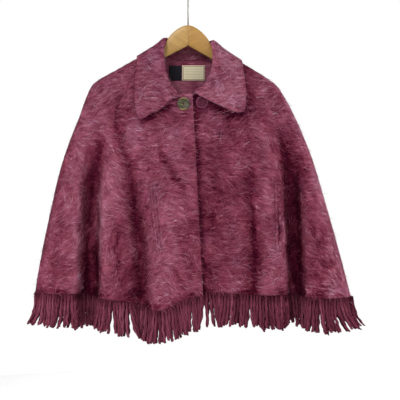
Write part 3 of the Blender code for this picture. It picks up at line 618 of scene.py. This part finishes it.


# Strokes of painted shade along folds, under the collar's leaves and in the slit, and of painted light where the
# depth is below nought: x and drop of both ends, depth, half width, and a lean that is above nought where the
# right side is the sharper one.
PAINTED_SHADE_AND_LIGHT = {"right_front_cloth": (
    (-225, 316, -229, 447, 0.16, 5, -0.6), (-231, 434, -244, 643, 0.18, 5.5, -0.6),
    (-251, 380, -258, 600, -0.09, 7, 0), (-223, 327, -219, 518, 0.03, 9.1, 0),
    (-215, 509, -201, 652, 0.26, 9.5, 0.3), (-235, 538, -226, 652, 0.15, 9.1, 0),
    (-208, 266, -194, 329, 0.1, 9.1, 0), (-173, 175, -151, 302, 0.2, 8.2, 0),
    (-157, 266, -133, 366, 0.17, 7, 0), (-134, 347, -116, 511, 0.14, 6, -0.2),
    (-117, 493, -101, 584, 0.05, 9.1, 0), (-166, 461, -152, 561, 0.2, 5, 0),
    (-176, 418, -165, 479, 0.08, 6.8, 0), (-140, 547, -113, 647, 0.14, 20.4, 0),
    (-150, 622, -101, 628, 0.18, 11, 0), (-72, 293, -13, 379, 0.18, 7.3, 0), (-10, 525, 19, 588, 0.07, 11.4, 0),
    (-60, 466, -42, 556, 0.06, 4.5, 0), (-290, 402, -317, 615, 0.09, 10.2, 0),
    (-116, 234, -35, 191, 0.34, 6.5, 0), (-217, 346, -212, 540, -0.12, 8.5, 0),
    (-206, 350, -202, 510, -0.11, 8, 0), (-226, 480, -222, 600, -0.1, 6, 0),
), "left_front_cloth": (
    (201, 225, 233, 338, 0.17, 11.4, 0), (228, 316, 249, 647, 0.09, 17, 0.2),
    (252, 293, 267, 650, 0.24, 6, 0.5), (226, 330, 240, 640, -0.07, 7, 0), (263, 300, 273, 440, 0.15, 9, 0),
    (206, 412, 208, 520, 0.26, 1.7, 0), (217, 377, 219, 552, -0.1, 2.2, 0), (251, 497, 260, 647, 0.1, 9.1, 0),
    (141, 327, 147, 447, 0.1, 9.5, 0), (147, 425, 160, 629, 0.16, 8.6, 0.2),
    (180, 316, 192, 625, -0.05, 11.4, 0), (40, 531, 55, 602, 0.06, 9.1, 0), (283, 575, 324, 634, 0.07, 15.9, 0),
    (126, 136, 160, 168, 0.06, 11.4, 0), (142, 152, 146, 211, 0.07, 8, 0), (38, 181, 114, 226, 0.5, 9, 0),
)}
# Broad areas, partly painted shade and light, partly the wool's own tone: x, drop, reach across, reach down,
# depth.
AREAS = {"right_front_cloth": (
    (-168, 185, 45, 55, 0.1), (-160, 560, 16, 85, 0.05), (-29, 500, 34, 95, -0.07), (-23, 219, 22, 11, 0.12),
), "left_front_cloth": (
    (306, 530, 32, 90, 0.15), (181, 207, 40, 50, 0.02), (90, 440, 40, 150, 0.04), (50, 196, 40, 17, 0.12),
)}


def strokes(name, points):
    """The depth of painted shade and light, and of some of the wool's own tone, that a cloth's strokes and areas
    add at points, with wandering edges and a mottled middle.
    """
    x, drop = points[:, 0] + 2.4 * drift(points, 34, 51), DOME_Z - points[:, 2]
    total = np.zeros(len(points))
    for *line, depth, half, lean in PAINTED_SHADE_AND_LIGHT.get(name, ()):
        share, aside = beside(x, drop, *line)
        fade = np.clip(np.minimum(share, 1 - share) * 5 + 0.15, 0, 1)
        total += depth * fade * np.exp(-(aside / (half * np.where(aside > 0, 1 + lean, 1 - lean))) ** 2)
    for cx, cdrop, across, down, depth in AREAS.get(name, ()):
        total += depth * np.exp(-((x - cx) / across) ** 2 - ((drop - cdrop) / down) ** 2)
    return total * (1 + 0.45 * drift(points * (1, 1, 0.5), 10, 52))


def front_edge(drop):
    """Where the right front's free edge runs over the left front."""
    return np.interp(drop, (160, 630), (10.6, 35.0))


def tones(name, points):
    """The wool's tone at points of a cloth, from 0 at the darkest to 1: mottled, with painted shade in hollows
    and painted light on some edges.
    """
    x, drop = points[:, 0], DOME_Z - points[:, 2]
    tone = 0.43 + 0.040 * drift(points, 95, 41) + 0.044 * drift(points * (1, 1, 1.8), 30, 42)
    tone += 0.040 * drift(points * (0.35, 0.35, 1), 9, 43)
    tone += {"collar_cloth": -0.015 + 0.065 * (x > 0), "left_front_cloth": -0.055}.get(name, 0)
    if name in relief:
        # Painted shade: wool in a hollow is darker. The fronts have strokes too, so their hollows count for less.
        share = 1.0 if name == "back_cloth" else 0.3
        behind, dip, hem, rim = (looked_up(grid, points) for grid in relief[name])
        hollow = 0.26 * share * np.clip(behind / 13, -0.25, 1.0)
        tone -= hollow + (0.05 + 0.07 * share) * np.clip(dip / 3, -0.5, 1.0)
        # Painted light makes the outline on the +x side paler, and an uneven dark line runs along the hem.
        tone += 0.15 * rim * (x > 100)
        hem_line = np.exp(-((points[:, 2] - hem - 12) / 2.2) ** 2)
        tone -= (0.17 + 0.12 * drift(points * (1, 1, 0), 70, 44)) * hem_line
        if name != "back_cloth":
            tone -= 0.2 * looked_up(collar_shade, points)
    if name == "right_front_cloth":
        # Painted light along its top at the throat, and painted shade along its free edge.
        tone += 0.17 * np.exp(-((drop - 169) / 5.0) ** 2) * (np.abs(x + 6) < 18) * (points[:, 1] < 0)
        tone -= 0.10 * np.exp(-((x - front_edge(drop)) / 7.0) ** 2) * (drop > 235)
    if "welt" in name:
        tone += 0.045
    tone -= strokes(name.split("_slit")[0] + "_cloth" if "welt" in name else name, points)
    if name == "left_front_cloth":
        # The right front shades it, most of all right beside the edge.
        gap = x - front_edge(drop)
        tone -= 0.34 * np.exp(-(np.maximum(gap, 0) / 8.0) ** 2) * (gap > -14)
    return np.clip(tone, 0.03, 0.9)


def shaded_by(mesh):
    """Where a cloth that lies over another shades it: just below and beside its edges."""
    points = read(mesh)
    points = points[points[:, 1] < 0]
    grid = np.zeros(GRID_SIZE)
    i, j = ((points[:, (0, 2)] - GRID_LOW - (-2, 9)) / CELL).astype(int).T
    grid[i, j] = 1
    grid = blurred(grid, 8)
    return np.clip(grid / grid.max() * 1.3, 0, 1)


collar_shade = shaded_by(cloths["collar_cloth"].data)
relief = {name: hollows(cloths[name].data, CLOTHS[name][1]) for name in CLOTHS if name != "collar_cloth"}
for name, piece in cloths.items():
    layer = piece.data.attributes.new("tone", "FLOAT", "POINT")
    layer.data.foreach_set("value", tones(name, read(piece.data)).astype(np.float32))


# Nap

# A face with other cloth nearer to it than this gets no hair.
CLOSE = 3.5
# x and drop of the left slit's middle.
LEFT_SLIT = 207, 468
# Where the nap turns: x, drop, reach across, reach down, degrees, and 1 for a parting whose two sides mirror.
SWIRLS = (
    (-52, 560, 40, 100, -42, 1), (-185, 560, 32, 110, 55, 1), (330, 480, 70, 170, -42, 0),
    (-300, 470, 60, 130, 30, 0), (-60, 300, 60, 50, 24, 0), (-150, 250, 70, 60, -22, 0),
    (120, 300, 60, 60, 20, 0), (210, 300, 50, 70, -38, 0), (60, 430, 60, 70, -12, 0),
    (110, 560, 60, 60, -26, 0), (-90, 440, 34, 60, 30, 1), (250, 560, 50, 50, 18, 0),
    (30, 600, 60, 50, -30, 0), (-240, 340, 50, 60, -24, 0), (237, 500, 22, 120, 55, 0),
    (-225, 480, 18, 110, 60, 0), (208, 468, 9, 70, 84, 0), (-73, 450, 10, 70, 76, 0),
)


def comb(points):
    """The way that the nap is combed at each point, as an angle from +x towards +z."""
    x, drop = points[:, 0], DOME_Z - points[:, 2]
    angle = 0.30 * drift(points, 150, 7) + 0.30 * drift(points, 46, 8) + 0.12 * drift(points, 17, 9)
    for cx, cdrop, across, down, turn, parting in SWIRLS:
        share = np.exp(-((x - cx) / across) ** 2 - ((drop - cdrop) / down) ** 2)
        angle += math.radians(turn) * share * (np.tanh((x - cx) / 9) if parting else 1)
    return angle


def scattered(piece, count, draw, inner):
    """Roots for hairs spread over one cloth's faces, the cloth's direction outwards there, and how far its face
    turns away from the front. A face with other cloth close over it gets none."""
    mesh = piece.data
    mesh.calc_loop_triangles()
    corners = np.empty(len(mesh.loop_triangles) * 3, np.int32)
    mesh.loop_triangles.foreach_get("vertices", corners)
    corners, points, normals = corners.reshape(-1, 3), read(mesh), rows_of(mesh.vertex_normals, "vector")
    a, b, c = (points[corners[:, k]] for k in range(3))
    cross = np.cross(b - a, c - a)
    area = np.linalg.norm(cross, axis=1)
    facing = cross[:, 1] / np.maximum(area, 1e-9) * inner
    turning = (1 - np.abs(cross[:, 1]) / np.maximum(area, 1e-9)) ** 2
    weight = area * np.where(facing > 0.1, 0.10, 1.0 + 1.2 * turning)
    picked = draw.choice(len(area), int(count * 1.35), p=weight / weight.sum())
    s, t = draw.random(len(picked)), draw.random(len(picked))
    s, t = np.where(s + t > 1, 1 - s, s), np.where(s + t > 1, 1 - t, t)
    share = np.stack((1 - s - t, s, t), 1)
    roots = sum(points[corners[picked, k]] * share[:, k:k + 1] for k in range(3))
    up = unit(sum(normals[corners[picked, k]] * share[:, k:k + 1] for k in range(3)))
    flat = unit(cross[picked])
    free = [k for k in range(len(roots))
            if surroundings.ray_cast(Vector(roots[k] + flat[k] * 0.6), Vector(flat[k]), CLOSE)[0] is None][:count]
    return roots[free], up[free], turning[picked][free]


def grounds(name):
    """The cloths that a piece's hairs may lie on: its own, with the slit's lips or the front that they are on."""
    if name.startswith("left_front_slit"):
        return walls([cloths[name], cloths["left_front_cloth"]])
    side = name.split("_front")[0]
    return walls([piece for other, piece in cloths.items() if other.split("_front")[0] == side])


def crossing(name, roots):
    """Where hairs may cross an edge of their cloth: the right front's free edge and the collar's lower edges."""
    x, drop = roots[:, 0], DOME_Z - roots[:, 2]
    if name == "right_front_cloth":
        return (np.abs(x - front_edge(drop)) < 16) & (drop < 600)
    if name == "collar_cloth":
        return (drop > 165) | (drop > 118) & (np.abs(x + 6) > 72)
    return np.zeros(len(roots), bool)


def nap(name, count, seed, inner=0, share_pale=0.12, long=(7, 19)):
    """Brushed hair over one cloth's faces: a fine flat pile and a few long pale hairs over it. inner is the sign
    of y that the cloth's inner side faces, which gets little."""
    draw = np.random.default_rng(seed)
    roots, up, turning = scattered(cloths[name], count, draw, inner)
    count = len(roots)
    thick = share_pale * np.clip(1 + 0.5 * drift(roots, 60, 15) + 1.2 * drift(roots, 15, 63), 0.1, 3.5)
    pale = draw.random(count) < thick
    angle = comb(roots) + draw.normal(0, 0.14, count)
    angle += np.where(pale, 0.5 * drift(roots, 20, 61) + draw.normal(0, 0.18, count), 0)
    # Tufts of hair lie against the comb, and some hairs hang down from the hem.
    against = drift(roots, 60, 31) + draw.normal(0, 0.6, count) > 0.75
    angle = np.where(against, angle + math.pi, angle)
    on_hem = name in relief
    above = roots[:, 2] - looked_up(relief[name][2], roots) if on_hem else np.full(count, 99.0)
    hanging = (above < 11) & (draw.random(count) < 0.45)
    angle = np.where(hanging, -math.pi / 2 + draw.normal(0, 0.45, count), angle)
    level = np.stack((np.cos(angle), np.zeros(count), np.sin(angle)), 1)
    ahead = unit(level - up * np.sum(level * up, axis=1, keepdims=True))
    shade = tones(name, roots) + draw.normal(0, 0.11, count) + 0.09 * drift(roots * (0.22, 0.22, 1), 5, 16)
    shade = np.clip(np.where(pale, shade + draw.uniform(0.07, 0.27, count), shade), 0.02, 0.98)
    length = np.where(pale, draw.uniform(12, 32, count), draw.uniform(*long, count))
    # Fluff is thin and stands off the cloth. The collar has it only low down.
    fluffy = draw.random(count) < 0.10 + 0.05 * turning
    fluff = ~pale & fluffy & ((name != "collar_cloth") | (roots[:, 2] < -225))
    length *= np.where(hanging, 1, np.clip(0.45 + above / 40, 0.45, 1))
    wide = np.where(pale, draw.uniform(0.3, 0.55, count), draw.uniform(0.45, 0.95, count))
    wide = np.where(fluff, wide * 0.55, wide)
    lift = np.where(pale, draw.uniform(0.5, 2.2, count), draw.uniform(0.15, 1.0, count))
    lift = np.where(fluff, draw.uniform(0.5, 1.7, count), lift)
    lift = np.where(hanging, lift + 3.0, lift)
    curl = draw.normal(0, 0.12, count) * length + 0.16 * length * drift(roots, 40, 13)
    curl += np.where(pale, (0.34 * drift(roots, 22, 62) + draw.normal(0, 0.12, count)) * length, 0)
    side = unit(np.cross(up, ahead) + up * np.where(fluff, draw.normal(0, 0.9, count), 0)[:, None])
    loose = fluff | hanging | pale & (draw.random(count) < 0.04)
    over = crossing(name, roots) & (up[:, 1] < -0.4) & (~pale | (draw.random(count) < 0.2))
    # Hairs are short round the left slit, so that it shows, and where they cross the right front's free edge.
    drop = DOME_Z - roots[:, 2]
    by_slit = (np.abs(roots[:, 0] - LEFT_SLIT[0]) < 20) & (np.abs(drop - LEFT_SLIT[1]) < 80) & (roots[:, 1] < 0)
    length = np.where(by_slit, np.minimum(length, 9), length)
    length = np.where(over & (name == "right_front_cloth"), np.minimum(length, 13), length)
    ground = grounds(name)
    ways = [roots - up * 0.2]
    for t in (1 / 3, 2 / 3, 1.0):
        way = roots + ahead * (length * t)[:, None] + side * (curl * t * t)[:, None]
        height = lift * (1.6 * t - 0.6 * t * t)
        for k in np.flatnonzero(~loose):
            near, facing, _, _ = ground.find_nearest(way[k])
            if facing.dot(up[k]) > 0.3 or not over[k]:
                way[k] = near + facing * (height[k] if facing.dot(up[k]) > 0 else 0.0)
        way[loose] += (up * height[:, None])[loose]
        way[:, 1] = np.clip(way[:, 1], *OUTERMOST)
        ways.append(way)
    own = name.rsplit("_", 1)[0] + "_nap"
    return show(own, hairs(own, ways, side, wide, shade), hair_finish, "mohair")


surroundings = walls(cloths.values())
naps = {
    "right_front_cloth": [nap("right_front_cloth", 38500, 1, inner=1)],
    "left_front_cloth": [nap("left_front_cloth", 37500, 2, inner=1)],
    "back_cloth": [nap("back_cloth", 39000, 3, inner=-1)],
    "collar_cloth": [nap("collar_cloth", 20000, 4, long=(6, 14))],
}
for name in cloths:
    if "welt" in name:
        naps[name.split("_slit")[0] + "_cloth"].append(nap(name, 1300, 5, share_pale=0.08, long=(7, 15)))


# Fringe

def locks_of(node):
    """The root, waist, belly and tip of each lock of a fringe's solid, found by walking up from its point."""
    bm = copied(node, quads=False)
    found = []
    for tip in bm.verts:
        near = {edge.other_vert(tip) for edge in tip.link_edges}
        if len(near) != 4 or any(v.co.z < tip.co.z for v in near):
            continue
        path, seen, ring = [tip.co.copy()], {tip}, near
        for _ in range(3):
            # Sorted, so that the sum has the same last digit in each run.
            corners = sorted(tuple(v.co) for v in ring)
            path.append(sum(map(Vector, corners), Vector()) / len(ring))
            seen |= ring
            ring = {edge.other_vert(v) for v in ring for edge in v.link_edges} - seen
            ring = {v for v in ring if v.co.z > path[-1].z}
            if not ring:
                break
        if len(path) >= 3:
            found.append([p / MM for p in reversed(path[:4])])
    bm.free()
    return found


def fringe(node, seed, outward, level, cling):
    """Looped yarn tassels where the solid's locks hang: a full one in front and one behind darkened with painted
    shade, each of three yarns twisted together, under a knot made dark with painted shade. Those at the two sides
    curve outwards. level is how pale the yarn is, and cling is how far neighbours draw together at their ends."""
    draw = np.random.default_rng(seed)
    steps = np.linspace(0, 1, 11)
    belly = np.sin(np.pi * steps)
    # Painted shade darkens each tassel's top under the hem, and painted light brightens its bend a little below.
    painted_top_shade, painted_bend_light = 0.26 * np.exp(-(steps / 0.13) ** 2), 0.04 * np.exp(-((steps - 0.25) / 0.1) ** 2)
    paths, thick, shade = [], [], []
    locks = sorted((np.array(lock) for lock in locks_of(node)), key=lambda knots: knots[-1][0])
    tips = np.array([knots[-1] for knots in locks])
    sway, clump = drift(tips, 28, seed), np.cumsum(draw.random(len(tips)) < 0.24)
    for knots, lean, group in zip(locks, sway, clump):
        tip = knots[-1]
        aside = np.clip((tip[0] - 296) / 40, 0, 1) - np.clip((-318 - tip[0]) / 30, 0, 1)
        bend = knots[len(knots) // 2] - (knots[0] + tip) / 2
        pull = (tips[clump == group, 0].mean() - tip[0]) * cling
        pull = pull + (2.2 + 6.5 * cling) * lean + draw.normal(0, 1.6)
        # The knot, dark with painted shade where the hole under the hem would show, and then the two tassels
        # under it.
        paths.append(knots[0] + np.outer(steps, (0, 0, -12.0)) + (0, 0, 9))
        thick.append(np.full(11, 3.0))
        shade.append(np.full(11, 0.10))
        for leg in (0, 1):
            place = np.array((3.8 * leg, outward * (1.4 - 3.4 * leg), 0))
            top = knots[0] + place + (0, 0, 8.5)
            end = tip + (pull + place[0] + draw.normal(0, 0.9), place[1] + draw.normal(0, 1.2),
                         draw.uniform(-1, 3) + 1.5 * draw.normal())
            # The tassel's middle line bends as its lock does, and swings a little.
            splay = aside * draw.uniform(-3, 12)
            wave, swell = draw.uniform(0.6, 2.0), draw.uniform(0.4, 1.3)
            spine = top + np.outer(steps, end - top) + np.outer(belly, bend - (aside * draw.uniform(-1, 6), 0, 0))
            swing = wave * np.sin(steps * draw.uniform(5, 11) + draw.uniform(0, 6.3)) * steps
            spine[:, 0] += splay * steps ** 2 + swing
            spine[:, 0] += draw.uniform(0.2, 0.9) * np.sin(steps * draw.uniform(14, 24) + draw.uniform(0, 6.3))
            spine[:, 1] += swell * np.sin(steps * draw.uniform(5, 10) + draw.uniform(0, 6.3))
            # The rear tassel is darker: painted shade.
            tone = draw.normal(level, 0.085) - 0.16 * leg
            phase, turns = draw.uniform(0, 6.3), draw.uniform(4, 9)
            for yarn in range(3):
                around = phase + yarn * 2.1 + turns * steps
                twist = np.stack((np.cos(around), np.sin(around), np.zeros(11)), 1)
                path = spine + twist * (1.2 + 0.5 * belly)[:, None]
                path[:, 2] += draw.uniform(-1.0, 1.5) * steps
                girth = 2.2 + 0.4 * np.sin(around * 2.3 + yarn)
                girth[-1] *= 0.8
                paths.append(path)
                thick.append(girth)
                # Painted shade where a yarn twists to the tassel's sides.
                flanks = 0.06 * np.abs(np.cos(around))
                shade.append(tone + draw.normal(0, 0.04) - flanks - painted_top_shade + painted_bend_light)
    mesh = yarns(node + "_yarn", np.array(paths), np.array(thick), np.clip(shade, 0, 1))
    return show(node + "_yarn", mesh, yarn_finish, "fringe_wool", node)


fringes = {
    "right_front_cloth": fringe("fringe_right_front", 21, -1, 0.48, 0.28),
    "left_front_cloth": fringe("fringe_left_front", 22, -1, 0.43, 0.14),
    "back_cloth": fringe("fringe_back", 23, 1, 0.49, 0.26),
}


# Labels, buttons and hanger

dark_satin = woven_label("dark_satin", rgb(6, 5, 10), rgb(30, 26, 36))
low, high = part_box("neck_label_light")
light_satin = woven_label("light_satin", rgb(196, 186, 150), rgb(232, 224, 196),
                          border=(rgb(128, 92, 66), rgb(206, 160, 160)),
                          middle=((low[0] + high[0]) / 2, (low[2] + high[2]) / 2),
                          half=((high[0] - low[0]) / 2, (high[2] - low[2]) / 2))
labels = [
    show("dark_neck_label", softened("neck_label_dark", 2, 40), dark_satin, "dark_label", "neck_label_dark"),
    show("light_neck_label", softened("neck_label_light", 2, 40), light_satin, "light_label", "neck_label_light"),
]


def turned(name, node, profile, finish, slot):
    """A button turned on a lathe from a profile of radius and height, set on its solid's own middle and tilt."""
    points = read(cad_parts[node].data)
    centre = (points.min(0) + points.max(0)) / 2
    axis = np.linalg.svd(points - points.mean(0), full_matrices=False)[2][2]
    axis *= -np.sign(axis[1])
    stand = Vector((0, 0, 1)).rotation_difference(Vector(axis)).to_matrix().to_4x4()
    place = Matrix.Scale(MM, 4) @ Matrix.Translation(Vector(centre)) @ stand
    bm, steps, rings = bmesh.new(), 56, []
    for radius, height in profile:
        # On the axis a ring is one point, and the faces there have three corners.
        turns = [2 * math.pi * k / steps for k in range(steps if radius else 1)]
        ring = [bm.verts.new(place @ Vector((radius * math.cos(t), radius * math.sin(t), height))) for t in turns]
        rings.append(ring * (steps // len(ring)))
    for upper, lower in zip(rings, rings[1:]):
        for k in range(steps):
            bm.faces.new(dict.fromkeys((upper[k - 1], lower[k - 1], lower[k], upper[k])))
    bmesh.ops.recalc_face_normals(bm, faces=bm.faces)
    mesh = made(bm, name)
    mesh.shade_smooth()
    mesh.set_sharp_from_angle(angle=math.radians(50))
    return show(name, mesh, finish, slot, node)


# Radius and height, from the middle of the face over the rim to the middle of the back.
HORN_PROFILE = ((0, -1.0), (2.0, -1.0), (2.5, 0.0), (3.2, 0.5), (6, 0.6), (9.4, 0.8), (10.8, 1.5), (12.4, 2.1),
                (13.8, 1.9), (14.8, 0.9), (15, -0.3), (14.4, -1.5), (12.5, -2.1), (0, -2.1))
PLUM_PROFILE = ((0, 0.35), (7.6, 0.35), (9.0, 0.55), (10.4, 1.1), (12.2, 1.2), (13.6, 0.8), (14.2, 0),
                (13.6, -0.8), (12.4, -1.2), (0, -1.2))
turned("horn_front_button", "horn_button", HORN_PROFILE, marbled_horn(), "horn")
turned("plum_front_button", "plum_button", PLUM_PROFILE, plain_plum(), "plum_plastic")

arm_finishes = {
    "hanger_right_arm": beech("beech_light", rgb(174, 137, 76), rgb(162, 125, 64), rgb(147, 110, 53), -31),
    "hanger_left_arm": beech("beech_dark", rgb(169, 128, 62), rgb(156, 115, 50), rgb(139, 99, 40), 31),
}
for node, wood in arm_finishes.items():
    bm = copied(node)
    sharp = [e for e in bm.edges if e.calc_face_angle(0.0) > math.radians(40)]
    bmesh.ops.bevel(bm, geom=sharp, offset=0.0007, segments=2, profile=0.5, affect="EDGES", material=1)
    mesh = made(bm, node)
    mesh.shade_smooth()
    mesh.set_sharp_from_angle(angle=math.radians(35))
    show(node + "_wood", mesh, [wood, wood_edge()], "beech", node)
# A line of dark glue fills the gap between the two halves, a little inside their middle faces. Sizes in metres.
ends = np.array([v.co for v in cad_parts["hanger_right_arm"].data.vertices if v.co.x > -0.0003])
inset = np.array((0, 0.0009, 0.0012))
low, high = ends.min(0) + inset, ends.max(0) - inset
place = Matrix.Translation(Vector((0, (low[1] + high[1]) / 2, (low[2] + high[2]) / 2)))
bm = bmesh.new()
shape = Matrix.Diagonal((0.0005, high[1] - low[1], high[2] - low[2], 1))
bmesh.ops.create_cube(bm, size=1.0, matrix=place @ shape)
show("hanger_glue_line", made(bm, "glue_line"), glue_line(), "beech")
show("hanger_hook_wire", softened("hanger_hook", 1, 80), hook_wire(), "wire", "hanger_hook")

for name, (node, _, _, flat, area) in CLOTHS.items():
    on_it = list(naps[name])
    if name in fringes:
        on_it.append(fringes[name])
    on_it += [piece for key, piece in cloths.items() if key.startswith(node) and "welt" in key]
    on_it += labels if name == "back_cloth" else []


# Stage, light and camera

def floor():
    bm = bmesh.new()
    bmesh.ops.create_circle(bm, cap_ends=True, segments=96, radius=2.0)
    bmesh.ops.translate(bm, vec=(0, 0, -1.25), verts=bm.verts)
    mesh = made(bm, "floor")
    f = Finish("pale_floor", Roughness=0.9)
    grain = f.noise(f.place(), 6.0, 2.0)
    f.feed(Base_Color=f.ramp(grain, (0.3, rgb(240, 240, 240)), (0.7, rgb(243, 243, 243))))
    mesh.materials.append(f.material)
    stage = bpy.data.objects.new("floor", mesh)
    scene.collection.objects.link(stage)


def lamp(name, place, size, power):
    data = bpy.data.lights.new(name, "AREA")
    data.shape, data.size, data.energy = "DISK", size, power
    light = bpy.data.objects.new(name, data)
    scene.collection.objects.link(light)
    light.location = place
    aim = Vector((0.02, 0, -0.5)) - Vector(place)
    light.rotation_euler = aim.to_track_quat("-Z", "Y").to_euler()


floor()
lamp("key", (-1.0, -2.2, 1.4), 1.1, 54)
lamp("fill", (1.5, -2.2, 0.5), 1.8, 20)
lamp("rear", (0.9, 2.3, 1.0), 1.4, 56)
lamp("left_side", (-2.3, -0.3, -0.3), 1.6, 20)
lamp("right_side", (2.3, -0.3, -0.3), 1.6, 25)
world = bpy.data.worlds.new("studio")
scene.world = world
world.use_nodes = True
nodes, links = world.node_tree.nodes, world.node_tree.links
# The backdrop is white to the camera, and lights the cape less strongly.
white, soft = nodes["Background"], nodes.new("ShaderNodeBackground")
for backdrop, strength in ((white, 1.0), (soft, 0.46)):
    backdrop.inputs["Color"].default_value, backdrop.inputs["Strength"].default_value = (1, 1, 1, 1), strength
seen, mixed = nodes.new("ShaderNodeLightPath"), nodes.new("ShaderNodeMixShader")
links.new(seen.outputs["Is Camera Ray"], mixed.inputs[0])
links.new(soft.outputs[0], mixed.inputs[1])
links.new(white.outputs[0], mixed.inputs[2])
links.new(mixed.outputs[0], nodes["World Output"].inputs[0])
scene.view_settings.view_transform = "Standard"

camera = bpy.data.objects.new("camera", bpy.data.cameras.new("camera"))
scene.collection.objects.link(camera)
camera.location = (0.028, -2.4, -0.522)
camera.rotation_euler = (math.radians(90), 0, 0)
camera.data.lens, camera.data.sensor_width = 91.9, 36
scene.camera = camera
